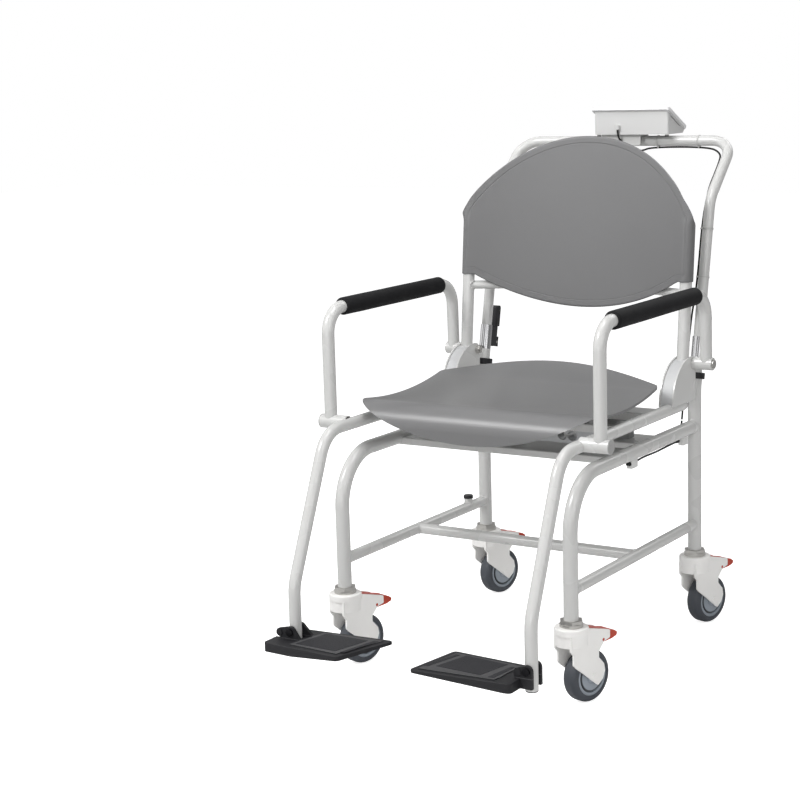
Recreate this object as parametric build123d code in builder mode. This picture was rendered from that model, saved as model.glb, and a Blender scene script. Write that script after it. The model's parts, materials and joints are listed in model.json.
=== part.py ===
"""Digital chair scale: a wheeled weighing chair with a fixed base and a seat carried on load cells.

Millimetres, Z up. X is the chair's width, with the sitter's left at +X, and the chair faces -Y.
The origin is on the floor under the middle of the whole scale.
"""
import os
from math import cos, radians, sin, tan

from build123d import *

os.makedirs("parts", exist_ok=True)

# Running and assembly clearances
pivot_clearance = 0.05
slide_clearance = 0.08
face_gap = 0.3
key_gap = 0.2
overrun = 2.0

# Where the chair stands: distance of the front legs ahead of the middle of the whole scale
front_leg_y = -298.3

# Base frame
leg_x = 251.0
wheelbase = 564.0
leg_bottom_z = 164.5
base_tube_d = 28.0
base_tube_wall = 2.0
base_rail_z = 427.0
base_bend_radius = 105.0
lower_rail_d = 22.0
lower_rail_wall = 1.5
lower_rail_z = 219.0
cross_tube_behind_legs = 280.0

# Stub that stands on the left lower rail
stub_d = 18.0
stub_behind_legs = 489.0
stub_top_z = 242.0

# Rear posts, which lean back above the seat
post_lean = 12.0
lean_start_z = 505.0
lean_bend_radius = 60.0
post_shoulder = 20.0
post_neck_d = 25.4
post_neck_bore = 22.6
post_neck_end = 54.0
ring_d = 38.0
ring_height = 13.0

# Load-cell trays of the base and channels of the seat frame
tray_depth = 90.0
tray_plate = 3.0
tray_flange = 14.0
front_tray_behind_legs = 205.0
rear_tray_behind_legs = 345.0
tray_top_z = 428.0
channel_depth = 60.0
channel_plate = 2.5
channel_flange = 16.0
channel_top_z = 486.0
cell_length = 130.0
cell_width = 25.0
cell_height = 30.0
cell_x = 125.0
cell_eye_d = 20.0
cell_eye_pitch = 22.0
cell_pad = 30.0

# Seat frame tubes with the foot-plate hangers
seat_tube_x = 256.0
seat_tube_d = 24.0
seat_tube_wall = 2.0
seat_tube_z = 484.0
seat_tube_rear_behind_legs = 490.0
seat_knee_ahead_of_legs = 39.7
seat_knee_radius = 70.0
hanger_ahead_of_legs = 164.0
hanger_kink_z = 205.0
hanger_kink_radius = 90.0
hanger_bottom_z = 80.0

# Arm rests
arm_x = 296.0
arm_tube_d = 25.0
arm_tube_wall = 2.0
arm_front_behind_legs = 38.0
arm_rear_behind_legs = 515.0
arm_top_z = 710.0
arm_bend_radius = 50.0
arm_pivot_behind_legs = 518.5
arm_pivot_z = 566.0
arm_hub_d = 26.0
arm_hub_end_x = 311.0
arm_bolt_d = 10.0
arm_bolt_head_d = 18.0
arm_bolt_head = 3.0
arm_nut_height = 8.0
arm_nut_across = 17.0
pad_d = 36.0
pad_end_radius = 10.0
arm_stub_d = 28.0
arm_stub_z = 487.0
arm_stub_end_x = 316.0

# Brackets that hold the back posts and the arm pivots
bracket_radius = 90.0
bracket_behind_legs = 507.0
bracket_z = 490.0
bracket_plate = 3.0
bracket_rear = 22.0
bracket_corner = 16.0
cover_thickness = 3.0
cover_inset = 3.0

# Back rest
back_post_x = 253.0
back_post_behind_legs = 491.3
back_post_d = 25.0
back_post_wall = 2.0
back_lean = 6.0
back_post_top_z = 840.0
back_cross_z = 706.0
back_cross_d = 18.0
back_cross_wall = 1.5
panel_sheet = 4.0
panel_sag = 60.0
panel_sleeve_wall = 2.0
panel_sleeve_gap = 0.3
panel_top_z = 1020.0
panel_top_rise = 159.0
panel_bottom_z = 664.0
panel_bottom_radius = 450.0
panel_side_low_z = 731.0
panel_belly_half = 236.0
panel_shoulder = 20.0
panel_overrun = 30.0
panel_reach = 140.0
sleeve_end_gap = 4.0

# Seat shell
seat_half_front = 258.0
seat_half_rear = 250.0
seat_sheet = 5.0
seat_crest_behind_legs = 103.0
seat_crest_z = 526.0
seat_crest_radius = 45.0
seat_lip_drop = 68.0
seat_front_angle = 8.0
seat_dish_angle = 12.0
seat_rear_angle = 35.0
seat_dish_radius = 749.0
seat_rear_radius = 200.0
seat_corner_radius = 12.0
seat_rear_behind_legs = 441.0
seat_rear_bow = 54.0
seat_top_reach = 700.0
standoff_d = 30.0
standoff_x = 150.0

# Push handle and its clamps
handle_d = 22.0
handle_wall = 1.8
handle_kink_z = 887.0
handle_bar_z = 1001.0
handle_bar_behind_legs = 768.0
handle_corner_radius = 48.0
handle_kink_radius = 70.0
handle_low = 15.0
sleeve_start = post_neck_end
sleeve_end = 107.0
clamp_width = 16.0
block_back = 29.0
block_bridge = 8.0
ear_reach = 14.0
ear_height = 22.0
sleeve_slit = 2.0
pin_proud = 0.5
clamp_low = 62.0
clamp_high = 104.0
clamp_pin_d = 6.0
clamp_pin_low = 72.0
clamp_pin_back = 37.0
lever_length = 78.0
lever_thick = 12.0
lever_width = 15.0
lever_root_width = 8.0
lever_eye = 6.0
lever_step = 3.0
lever_offset = 1.0

# Indicator
case_x = 30.0
face_width = 182.0
face_length = 107.0
face_plate = 7.0
face_tilt = 26.0
face_ahead_of_bar = 36.0
face_rise = 59.0
face_corner = 7.0
face_recess = 1.0
face_recess_margin = 6.5
case_inset = 4.0
saddle_height = 4.0
case_rear_step = 8.0
case_rear_slope = 8.0
case_wall = 2.5
side_slot = 2.5
side_slot_start = 16.0
side_slot_length = 57.0
side_slot_down = 12.0
case_fillet = 5.0
window_width = 103.3
window_height = 34.0
window_up = 6.7
window_plate = 2.0
key_width = 17.1
key_height = 13.0
key_pitch = 21.35
key_down = 27.5
key_count = 5
key_thick = 3.2
key_proud = 0.8
key_pocket = 4.2
lamp_d = 3.6
lamp_side = 69.8
lamp_up = 27.0
lamp_depth = 2.5
saddle_x = 2.0
saddle_length = 92.0
saddle_plate = 3.0
saddle_ahead = 24.0
saddle_behind = 18.0
saddle_drop = 19.0
saddle_eye_d = 10.0
saddle_eye_x = 2.0
saddle_eye_drop = 14.0
gland_d = 9.0
gland_height = 9.0
gland_x = 0.0
gland_above_floor = 11.0
case_foot_d = 8.0
case_foot_x = 80.0

# Cables; their routes are points from the front legs' plane, the floor and the chair's middle
cable_d = 4.0
cable_bend_share = 0.45
indicator_route = (
    (0, 732.75, 1027), (0, 732.75, 1011), (3, 752, 997), (16, 758, 981), (40, 767, 979), (64, 768, 987.7),
    (196, 768, 987.7), (227, 757, 976), (237.7, 728, 960), (237.7, 645.4, 888), (237.7, 606.3, 704),
    (234.6, 578, 636), (234.6, 537, 443),
)
cell_route = (
    (234.6, 536.6, 441), (234.6, 530, 416), (237, 514, 403.5), (241, 484, 404.5), (244, 440, 405.5),
    (244, 385, 404), (243.5, 332, 405.5), (246, 290, 404), (246, 256, 404.5), (230, 244, 423.5),
)

# Ties round the handle and clips, guide and grommet on the base, which hold the cables
cable_beside_tube = 13.3
tie_wall = 1.2
tie_width = 3.0
bar_tie_near_x = 80.0
bar_tie_far_x = 174.0
post_tie_low = 230.0
post_tie_high = 330.0
guide_d = 9.0
guide_bore = 4.6
guide_low_z = 483.0
guide_high_z = 509.0
guide_foot_width = 8.0
guide_foot_height = 12.0
clip_x = 245.0
clip_width = 12.0
clip_low_z = 395.0
clip_high_z = 417.0
rear_clip_behind_legs = 519.0
rear_clip_length = 22.0
front_clip_behind_legs = 277.5
front_clip_length = 27.0
grommet_d = 11.0
grommet_height = 4.0

# Plugs in the open tube ends
plug_reach = 8.0
plug_plate = 2.0
plug_gap = 0.1
stub_cap_d = 21.0
stub_cap_lap = 3.0
stub_cap_height = 7.0

# Foot plates: both are one family, but the left one is longer outboard of its hanger
hinge_z = 119.0
plate_top_z = 105.0
plate_hinge_thick = 18.0
plate_inner_thick = 5.0
plate_taper_x = 228.0
plate_front_hinge = 56.0
plate_front_inner = 68.0
plate_back_hinge = 50.0
plate_back_inner = 65.0
plate_corner = 9.0
right_outer_x = 243.0
right_inner_front_x = 39.0
right_inner_back_x = 59.0
left_outer_x = 294.0
left_inner_front_x = 116.0
left_inner_back_x = 71.0
slot_inner_x = 241.5
cheek_gap = 1.0
cheek_thick = 7.0
cheek_radius = 11.0
cheek_base_in_x = 232.0
cheek_base_out_x = 267.0
gusset_x = 226.0
screw_lobe = 8.0
cheek_root = 3.0
plate_depth_reach = 90.0
right_screw_x = 239.0
left_screw_x = 280.0
screw_z = 117.0
screw_boss_d = 13.0
screw_boss = 2.0
plate_pin_d = 8.0
plate_pin_head_d = 15.0
plate_pin_head = 3.0
border_inset = 4.0
border_width = 7.0
border_height = 1.5
border_start_x = 232.0
tread_inset = 22.0
edge_round = 1.5

# Casters; fork and pedal outlines are given as (distance behind the stem, height)
wheel_d = 100.0
tread_width = 32.0
tyre_round = 10.0
hub_d = 74.0
hub_width = 30.0
hub_groove_d = 60.0
hub_groove = 3.0
hub_boss_d = 24.0
hub_boss_width = 35.0
axle_d = 10.0
axle_head_d = 16.0
axle_head = 1.5
caster_trail = 38.0
caster_turn = 16.5
fork_inner = 18.0
fork_plate = 4.5
cap_d = 65.0
cap_top_z = 152.0
cap_seam_z = 138.0
cap_seam = 1.2
cap_round = 3.0
head_d = 60.0
head_bottom_z = 117.0
web_start = 24.0
web_end = 34.0
web_bottom_z = 108.0
web_top_z = 142.0
stem_d = 12.0
stem_top_z = 160.0
collar_d = 44.0
collar_step_z = 158.0
collar_nut_across = 40.0
spigot_length = 14.0
fork_reach = 80.0
fork_height = 147.0
fork_shares = (
    (-0.3, 0.95), (0.3, 0.95), (0.3, 1), (0.36, 0.99), (1, 0.9), (1, 0.8), (0.8, 0.77), (0.62, 0.66),
    (0.62, 0.58), (0.79, 0.48), (0.82, 0.39), (0.75, 0.29), (0.58, 0.22), (0.14, 0.41), (-0.12, 0.52),
    (-0.21, 0.57), (-0.21, 0.7), (-0.3, 0.76),
)
fork_soft_corners = 3.0
pedal_width = 34.0
pedal_pin_d = 6.0
pedal_pin_back = 62.5
pedal_pin_z = 117.0
pedal_reach = 106.0
pedal_top_z = 142.5
pedal_shares = (
    (0.35, 0.9), (0.35, 1), (0.57, 0.96), (0.77, 0.915), (0.92, 0.89), (1, 0.85), (0.98, 0.81),
    (0.87, 0.785), (0.66, 0.77), (0.52, 0.77), (0.42, 0.83),
)
pedal_soft_corners = 2.0

# Places from the middle of the whole scale, worked out from the distances behind the front legs
cross_tube_y = front_leg_y + cross_tube_behind_legs
rear_leg_y = front_leg_y + wheelbase
stub_y = front_leg_y + stub_behind_legs
front_tray_y = front_leg_y + front_tray_behind_legs
rear_tray_y = front_leg_y + rear_tray_behind_legs
seat_tube_rear_y = front_leg_y + seat_tube_rear_behind_legs
seat_knee_y = front_leg_y - seat_knee_ahead_of_legs
hanger_y = front_leg_y - hanger_ahead_of_legs
arm_front_y = front_leg_y + arm_front_behind_legs
arm_rear_y = front_leg_y + arm_rear_behind_legs
arm_pivot_y = front_leg_y + arm_pivot_behind_legs
bracket_y = front_leg_y + bracket_behind_legs
back_post_y = front_leg_y + back_post_behind_legs
seat_crest_y = front_leg_y + seat_crest_behind_legs
seat_rear_y = front_leg_y + seat_rear_behind_legs
handle_bar_y = front_leg_y + handle_bar_behind_legs
rear_clip_y = front_leg_y + rear_clip_behind_legs
front_clip_y = front_leg_y + front_clip_behind_legs


def scaled(shares, along, up):
    """An outline's points, from its shares of a reach and a height."""
    return [(along * across_share, up * height_share) for across_share, height_share in shares]


def save(part, name):
    """Labels one finished piece and writes its file."""
    part.label = name
    export_step(part, "parts/" + name + ".step")


def tube_between(start, end, outer, wall):
    """A straight tube from one point to another."""
    axis = Vector(*end) - Vector(*start)
    plane = Plane(origin=start, z_dir=axis)
    with BuildPart() as tube:
        with BuildSketch(plane):
            Circle(outer / 2)
            Circle(outer / 2 - wall, mode=Mode.SUBTRACT)
        extrude(amount=axis.length)
    return tube.part


def rod_between(start, end, outer):
    """A solid rod from one point to another, used as a cutter and for pins."""
    axis = Vector(*end) - Vector(*start)
    with BuildPart() as rod:
        with BuildSketch(Plane(origin=start, z_dir=axis)):
            Circle(outer / 2)
        extrude(amount=axis.length)
    return rod.part


def rod_along_x(start_x, end_x, y, z, outer):
    """A solid rod across the chair."""
    return rod_between((start_x, y, z), (end_x, y, z), outer)


def rod_along_y(start_y, end_y, x, z, outer):
    """A solid rod from front to back."""
    return rod_between((x, start_y, z), (x, end_y, z), outer)


def bent_tube(points, radii, outer, wall):
    """A tube bent along a path of straight runs and arcs."""
    with BuildPart() as tube:
        with BuildLine() as path:
            FilletPolyline(*points, radius=radii)
        with BuildSketch(path.line ^ 0):
            Circle(outer / 2)
            if wall:
                Circle(outer / 2 - wall, mode=Mode.SUBTRACT)
        sweep()
    return tube.part


def cut_by(part, *cutters):
    """The part with every cutter taken out of it."""
    with BuildPart() as coped:
        add(part)
        for cutter in cutters:
            add(cutter, mode=Mode.SUBTRACT)
    return coped.part


def both_sides(part):
    """The part and its mirror image across the chair's middle."""
    with BuildPart() as pair:
        add(part)
        mirror(about=Plane.YZ)
    return pair.part


def mirrored(part):
    """The mirror image of the part across the chair's middle."""
    with BuildPart() as other:
        with BuildPart(mode=Mode.PRIVATE) as own:
            add(part)
        add(mirror(own.part, about=Plane.YZ, mode=Mode.PRIVATE))
    return other.part


lean_y = sin(radians(post_lean))
lean_z = cos(radians(post_lean))


def on_post(along, inward=0.0, back=0.0):
    """A point near the leaning part of the right-hand rear post."""
    return (
        leg_x - inward,
        rear_leg_y + along * lean_y + back * lean_z,
        lean_start_z + along * lean_z - back * lean_y,
    )


def post_plane(along):
    """The plane across the leaning post: its x runs along the width, its y to the back."""
    return Plane(origin=on_post(along), x_dir=(1, 0, 0), z_dir=(0, lean_y, lean_z))


# Base frame: side tubes, rear posts, lower rails
rear_post_cutter = rod_between((leg_x, rear_leg_y, 0), (leg_x, rear_leg_y, lean_start_z), base_tube_d)
front_leg_cutter = rod_between((leg_x, front_leg_y, 0), (leg_x, front_leg_y, base_rail_z), base_tube_d)
base_rail_cutter = rod_along_y(front_leg_y, rear_leg_y, leg_x, base_rail_z, base_tube_d)
base_tube = cut_by(
    bent_tube(
        [
            (leg_x, front_leg_y, leg_bottom_z),
            (leg_x, front_leg_y, base_rail_z),
            (leg_x, rear_leg_y, base_rail_z),
        ],
        base_bend_radius,
        base_tube_d,
        base_tube_wall,
    ),
    rear_post_cutter,
)

post_body = bent_tube(
    [(leg_x, rear_leg_y, leg_bottom_z), (leg_x, rear_leg_y, lean_start_z), on_post(post_shoulder)],
    lean_bend_radius,
    base_tube_d,
    base_tube_wall,
)
post_envelope = bent_tube(
    [(leg_x, rear_leg_y, leg_bottom_z), (leg_x, rear_leg_y, lean_start_z), on_post(post_shoulder)],
    lean_bend_radius,
    base_tube_d,
    0,
)
with BuildPart() as rear_post:
    add(post_body)
    with BuildSketch(post_plane(post_shoulder - base_tube_wall)):
        Circle(base_tube_d / 2)
        Circle(post_neck_bore / 2, mode=Mode.SUBTRACT)
    extrude(amount=base_tube_wall)
    with BuildSketch(post_plane(post_shoulder)):
        Circle(post_neck_d / 2)
        Circle(post_neck_bore / 2, mode=Mode.SUBTRACT)
    extrude(amount=post_neck_end - post_shoulder)

lower_rail = cut_by(
    tube_between(
        (leg_x, front_leg_y, lower_rail_z), (leg_x, rear_leg_y, lower_rail_z), lower_rail_d, lower_rail_wall
    ),
    rear_post_cutter,
    front_leg_cutter,
)
lower_rail_cutter = rod_along_y(front_leg_y, rear_leg_y, leg_x, lower_rail_z, lower_rail_d)
lower_cross_tube = cut_by(
    tube_between(
        (-leg_x, cross_tube_y, lower_rail_z),
        (leg_x, cross_tube_y, lower_rail_z),
        lower_rail_d,
        lower_rail_wall,
    ),
    both_sides(lower_rail_cutter),
)
with BuildPart() as stub_rail:
    add(mirrored(lower_rail))
    with BuildSketch(Plane.XY.offset(lower_rail_z)):
        with Locations((-leg_x, stub_y)):
            Circle(stub_d / 2)
    extrude(amount=stub_top_z - lower_rail_z)
    lower_rail_bore = lower_rail_d - 2 * lower_rail_wall
    bore_rod = rod_along_y(stub_y - stub_d, stub_y + stub_d, -leg_x, lower_rail_z, lower_rail_bore)
    add(bore_rod, mode=Mode.SUBTRACT)
save(both_sides(base_tube), "base_side_tubes")
save(both_sides(rear_post.part), "rear_posts")
with BuildPart() as lower_side_rails:
    add(lower_rail)
    add(stub_rail.part)
save(lower_side_rails.part, "lower_side_rails")
save(lower_cross_tube, "lower_cross_tube")


def pressed_channel(front_y, depth, top_z, plate, flange, end_cutters):
    """A sheet-metal channel across the chair, open below, coped to the tubes at its ends."""
    with BuildPart() as channel:
        with BuildSketch(Plane.YZ):
            with Locations((front_y + depth / 2, top_z)):
                Rectangle(depth, flange, align=(Align.CENTER, Align.MAX))
            with Locations((front_y + depth / 2, top_z - plate)):
                Rectangle(depth - 2 * plate, flange, align=(Align.CENTER, Align.MAX), mode=Mode.SUBTRACT)
        extrude(amount=leg_x, both=True)
        outer_edges = channel.edges().filter_by(Axis.X).group_by(Axis.Z)[-1]
        fillet(outer_edges, radius=plate)
        for cutter in end_cutters:
            add(cutter, mode=Mode.SUBTRACT)
    return channel.part


seat_rail_cutter = rod_along_y(front_leg_y, rear_leg_y, seat_tube_x, seat_tube_z, seat_tube_d)
tray_fronts = (front_tray_y, rear_tray_y)
with BuildPart() as load_trays:
    for tray_y in tray_fronts:
        add(
            pressed_channel(
                tray_y, tray_depth, tray_top_z, tray_plate, tray_flange, [both_sides(base_rail_cutter)]
            )
        )
save(load_trays.part, "load_trays")

channel_middles = [tray_y + tray_depth / 2 for tray_y in tray_fronts]
with BuildPart() as seat_channels:
    for middle in channel_middles:
        add(
            pressed_channel(
                middle - channel_depth / 2,
                channel_depth,
                channel_top_z,
                channel_plate,
                channel_flange,
                [both_sides(seat_rail_cutter)],
            )
        )
save(seat_channels.part, "seat_channels")

# Load cells: each stands on a foot at its outer end and carries a head at its inner end
cell_space = channel_top_z - channel_plate - tray_top_z
cell_foot = (cell_space - cell_height) / 2
with BuildPart() as load_cell:
    with BuildSketch(Plane.XZ):
        with Locations((cell_x, tray_top_z + cell_space / 2)):
            Rectangle(cell_length, cell_height)
            with Locations((-cell_eye_pitch / 2, 0), (cell_eye_pitch / 2, 0)):
                Circle(cell_eye_d / 2, mode=Mode.SUBTRACT)
            Rectangle(cell_eye_pitch, cell_eye_d / 4, mode=Mode.SUBTRACT)
        foot_x = cell_x + (cell_length - cell_pad) / 2
        head_x = cell_x - (cell_length - cell_pad) / 2
        with Locations((foot_x, tray_top_z + cell_foot / 2)):
            Rectangle(cell_pad, cell_foot)
        with Locations((head_x, tray_top_z + cell_space - cell_foot / 2)):
            Rectangle(cell_pad, cell_foot)
    extrude(amount=cell_width / 2, both=True)
with BuildPart() as load_cells:
    for middle in channel_middles:
        with Locations((0, middle, 0)):
            add(both_sides(load_cell.part))
save(load_cells.part, "load_cells")

# Seat frame tubes
seat_tube = bent_tube(
    [
        (seat_tube_x, seat_tube_rear_y, seat_tube_z),
        (seat_tube_x, seat_knee_y, seat_tube_z),
        (seat_tube_x, hanger_y, hanger_kink_z),
        (seat_tube_x, hanger_y, hanger_bottom_z),
    ],
    [seat_knee_radius, hanger_kink_radius],
    seat_tube_d,
    seat_tube_wall,
)
hinge_bore = rod_along_y(hanger_y - seat_tube_d, hanger_y + seat_tube_d, seat_tube_x, hinge_z, plate_pin_d)
seat_tube = cut_by(seat_tube, hinge_bore)
save(both_sides(seat_tube), "seat_tubes")

arm_stub = cut_by(
    tube_between(
        (seat_tube_x, arm_front_y, arm_stub_z),
        (arm_stub_end_x, arm_front_y, arm_stub_z),
        arm_stub_d,
        seat_tube_wall,
    ),
    seat_rail_cutter,
)
save(both_sides(arm_stub), "arm_stubs")

# Back posts lean with the back rest
back_y = sin(radians(back_lean))
back_z = cos(radians(back_lean))


def post_axis_y(height):
    """Where the back post's centre line is, front to back, at a height."""
    return back_post_y + (height - seat_tube_z) * tan(radians(back_lean))


def arm_pivot_rod(outer):
    """A rod on the right-hand arm pivot's axis, from the chair's middle outward."""
    return rod_along_x(0, arm_stub_end_x, arm_pivot_y, arm_pivot_z, outer)


back_post = cut_by(
    tube_between(
        (back_post_x, post_axis_y(seat_tube_z), seat_tube_z),
        (back_post_x, post_axis_y(back_post_top_z), back_post_top_z),
        back_post_d,
        back_post_wall,
    ),
    seat_rail_cutter,
    arm_pivot_rod(arm_bolt_d),
)
save(both_sides(back_post), "back_posts")
back_post_cutter = rod_between(
    (back_post_x, post_axis_y(seat_tube_z), seat_tube_z),
    (back_post_x, post_axis_y(back_post_top_z), back_post_top_z),
    back_post_d,
)
cross_sag = panel_sag + panel_sheet
with BuildPart() as back_cross_tube:
    with BuildLine() as bow:
        ThreePointArc(
            (-back_post_x, post_axis_y(back_cross_z), back_cross_z),
            (0, post_axis_y(back_cross_z) + cross_sag, back_cross_z),
            (back_post_x, post_axis_y(back_cross_z), back_cross_z),
        )
    with BuildSketch(bow.line ^ 0):
        Circle(back_cross_d / 2)
        Circle(back_cross_d / 2 - back_cross_wall, mode=Mode.SUBTRACT)
    sweep()
    add(both_sides(back_post_cutter), mode=Mode.SUBTRACT)
save(back_cross_tube.part, "back_cross_tube")

# Brackets: two quarter-round plates beside each back post
plate_inner_x = back_post_x - back_post_d / 2 - bracket_plate
plate_outer_x = back_post_x + back_post_d / 2
with BuildPart() as bracket:
    for plate_x in (plate_inner_x, plate_outer_x):
        with BuildSketch(Plane.YZ.offset(plate_x)) as web:
            with BuildLine():
                top = (bracket_y, bracket_z + bracket_radius)
                front = (bracket_y - bracket_radius, bracket_z)
                elbow = radians(45)
                middle = (bracket_y - bracket_radius * sin(elbow), bracket_z + bracket_radius * cos(elbow))
                ThreePointArc(front, middle, top)
                rear = bracket_y + bracket_rear
                Polyline(top, (rear, bracket_z + bracket_radius), (rear, bracket_z), front)
            make_face()
            fillet(web.vertices().group_by(Axis.Y)[-1].sort_by(Axis.X)[-1], radius=bracket_corner)
        extrude(amount=bracket_plate)
    add(arm_pivot_rod(arm_bolt_d), mode=Mode.SUBTRACT)
    add(seat_rail_cutter, mode=Mode.SUBTRACT)
save(both_sides(bracket.part), "back_brackets")

cover_radius = bracket_radius - cover_inset
with BuildPart() as cover:
    with BuildSketch(Plane.YZ.offset(plate_inner_x + bracket_plate)):
        with Locations((bracket_y, bracket_z)):
            Circle(cover_radius)
            Circle(cover_radius - cover_thickness, mode=Mode.SUBTRACT)
        with Locations((bracket_y - back_post_d / 2, bracket_z)):
            Rectangle(2 * bracket_radius, bracket_radius, align=(Align.MAX, Align.MIN), mode=Mode.INTERSECT)
    extrude(amount=back_post_d)
    add(back_post_cutter, mode=Mode.SUBTRACT)
    add(seat_rail_cutter, mode=Mode.SUBTRACT)
save(both_sides(cover.part), "bracket_covers")


# Seat shell: a bent sheet with a rolled front lip, a shallow dish and a raised rear edge
def seat_chain(inset):
    """Corner points and arcs of the seat's side profile, moved inward from the top surface."""
    lip_y = seat_crest_y - seat_crest_radius + inset
    lip_start = (lip_y, seat_crest_z - seat_lip_drop)
    lip_end = (lip_y, seat_crest_z - seat_crest_radius)
    straight = Line(lip_start, lip_end)
    crest = JernArc(
        start=lip_end, tangent=(0, 1), radius=seat_crest_radius - inset, arc_size=-(90 + seat_front_angle)
    )
    dish = JernArc(
        start=crest @ 1,
        tangent=crest % 1,
        radius=seat_dish_radius + inset,
        arc_size=seat_front_angle + seat_dish_angle,
    )
    rise = JernArc(
        start=dish @ 1,
        tangent=dish % 1,
        radius=seat_rear_radius + inset,
        arc_size=seat_rear_angle - seat_dish_angle,
    )
    return straight @ 0, rise @ 1


lip_arc_radius = (seat_half_front**2 + seat_lip_drop**2) / (2 * seat_lip_drop)
with BuildPart() as seat_shell:
    with BuildSketch(Plane.YZ):
        with BuildLine():
            upper_start, upper_end = seat_chain(0)
            lower_start, lower_end = seat_chain(seat_sheet)
            Line(upper_start, lower_start)
            Line(upper_end, lower_end)
        make_face()
    extrude(amount=seat_half_front + seat_sheet, both=True)
    seat_front_y = seat_crest_y - seat_crest_radius - seat_sheet
    with BuildSketch(Plane.XY) as seat_plan:
        Polygon(
            (-seat_half_front, seat_front_y),
            (seat_half_front, seat_front_y),
            (seat_half_rear, seat_rear_y),
            (-seat_half_rear, seat_rear_y),
            align=None,
        )
        rear_arc_radius = (seat_half_rear**2 + seat_rear_bow**2) / (2 * seat_rear_bow)
        with Locations((0, seat_rear_y - rear_arc_radius)):
            Circle(rear_arc_radius, mode=Mode.INTERSECT)
        fillet(seat_plan.vertices().group_by(Axis.Y)[-1], radius=seat_corner_radius)
    extrude(amount=seat_top_reach, mode=Mode.INTERSECT)
    with BuildSketch(Plane.XZ.offset(-seat_crest_y)):
        with Locations((0, seat_crest_z + seat_sheet)):
            Rectangle(3 * seat_half_front, 2 * seat_lip_drop, align=(Align.CENTER, Align.MAX))
        with Locations((0, seat_crest_z - seat_lip_drop + lip_arc_radius)):
            Circle(lip_arc_radius, mode=Mode.SUBTRACT)
    extrude(amount=seat_crest_radius + overrun, mode=Mode.SUBTRACT)
save(seat_shell.part, "seat_shell")

with BuildPart() as seat_standoffs:
    for middle in channel_middles:
        for side_x in (-standoff_x, standoff_x):
            with BuildPart(mode=Mode.PRIVATE) as post:
                with BuildSketch(Plane.XY.offset(channel_top_z)):
                    with Locations((side_x, middle)):
                        Circle(standoff_d / 2)
                extrude(amount=seat_crest_z - channel_top_z + seat_crest_radius)
                add(seat_shell.part, mode=Mode.SUBTRACT)
            add(post.solids().sort_by(Axis.Z)[0])
save(seat_standoffs.part, "seat_standoffs")

# Back panel: a bowed sheet with a sleeve over each back post, cut to its outline
panel_base_z = back_cross_z
panel_plane = Plane(
    origin=(0, post_axis_y(panel_base_z), panel_base_z), x_dir=(1, 0, 0), z_dir=(0, back_y, back_z)
)
sleeve_bore = back_post_d / 2 + panel_sleeve_gap
sleeve_outer = sleeve_bore + panel_sleeve_wall
panel_half = back_post_x + sleeve_outer
panel_top_radius = (panel_half**2 + panel_top_rise**2) / (2 * panel_top_rise)
panel_low = -(panel_base_z - panel_bottom_z + panel_overrun)
panel_high = panel_top_z - panel_base_z + panel_overrun
with BuildPart() as back_panel:
    with BuildSketch(panel_plane.offset(panel_low)):
        with BuildLine():
            front_left = (-back_post_x, -sleeve_outer)
            front_right = (back_post_x, -sleeve_outer)
            back_right = (back_post_x, panel_sheet - sleeve_outer)
            back_left = (-back_post_x, panel_sheet - sleeve_outer)
            ThreePointArc(front_left, (0, panel_sag - sleeve_outer), front_right)
            Line(front_right, back_right)
            ThreePointArc(back_right, (0, panel_sag + panel_sheet - sleeve_outer), back_left)
            Line(back_left, front_left)
        make_face()
        with Locations((-back_post_x, 0), (back_post_x, 0)):
            Circle(sleeve_outer)
    extrude(amount=panel_high - panel_low)
    with BuildSketch(panel_plane.offset(panel_low)):
        with Locations((-back_post_x, 0), (back_post_x, 0)):
            Circle(sleeve_bore)
    blind_end = (back_post_top_z + sleeve_end_gap - panel_base_z) / back_z
    extrude(amount=blind_end - panel_low, mode=Mode.SUBTRACT)
    with BuildSketch(Plane.XZ.offset(-back_post_y)) as panel_outline:
        with Locations((0, panel_bottom_z + panel_bottom_radius)):
            Circle(panel_bottom_radius)
        with Locations((0, panel_bottom_z)):
            belly_align = (Align.CENTER, Align.MIN)
            Rectangle(2 * panel_belly_half, panel_bottom_radius, align=belly_align, mode=Mode.INTERSECT)
        with Locations((0, panel_side_low_z)):
            Rectangle(2 * panel_half, panel_top_radius, align=(Align.CENTER, Align.MIN))
        with Locations((0, panel_top_z - panel_top_radius)):
            Circle(panel_top_radius, mode=Mode.INTERSECT)
        fillet(panel_outline.vertices().group_by(Axis.Y)[-1], radius=panel_shoulder)
    extrude(amount=panel_reach, both=True, mode=Mode.INTERSECT)
save(back_panel.part, "back_panel")

# Arm rests
arm_body = cut_by(
    bent_tube(
        [
            (arm_x, arm_front_y, arm_stub_z),
            (arm_x, arm_front_y, arm_top_z),
            (arm_x, arm_rear_y, arm_top_z),
            (arm_x, arm_pivot_y, arm_pivot_z),
        ],
        arm_bend_radius,
        arm_tube_d,
        arm_tube_wall,
    ),
    rod_along_x(0, 2 * arm_x, arm_front_y, arm_stub_z, arm_stub_d + 2 * face_gap),
    arm_pivot_rod(arm_hub_d - arm_tube_wall),
)
hub_start_x = plate_outer_x + bracket_plate + face_gap
with BuildPart() as arm_tube:
    add(arm_body)
    with BuildSketch(Plane.YZ.offset(hub_start_x)):
        with Locations((arm_pivot_y, arm_pivot_z)):
            Circle(arm_hub_d / 2)
    extrude(amount=arm_hub_end_x - hub_start_x)
    add(arm_pivot_rod(arm_bolt_d + 2 * pivot_clearance), mode=Mode.SUBTRACT)
save(arm_tube.part, "arm_tube_right")
save(mirrored(arm_tube.part), "arm_tube_left")

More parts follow.
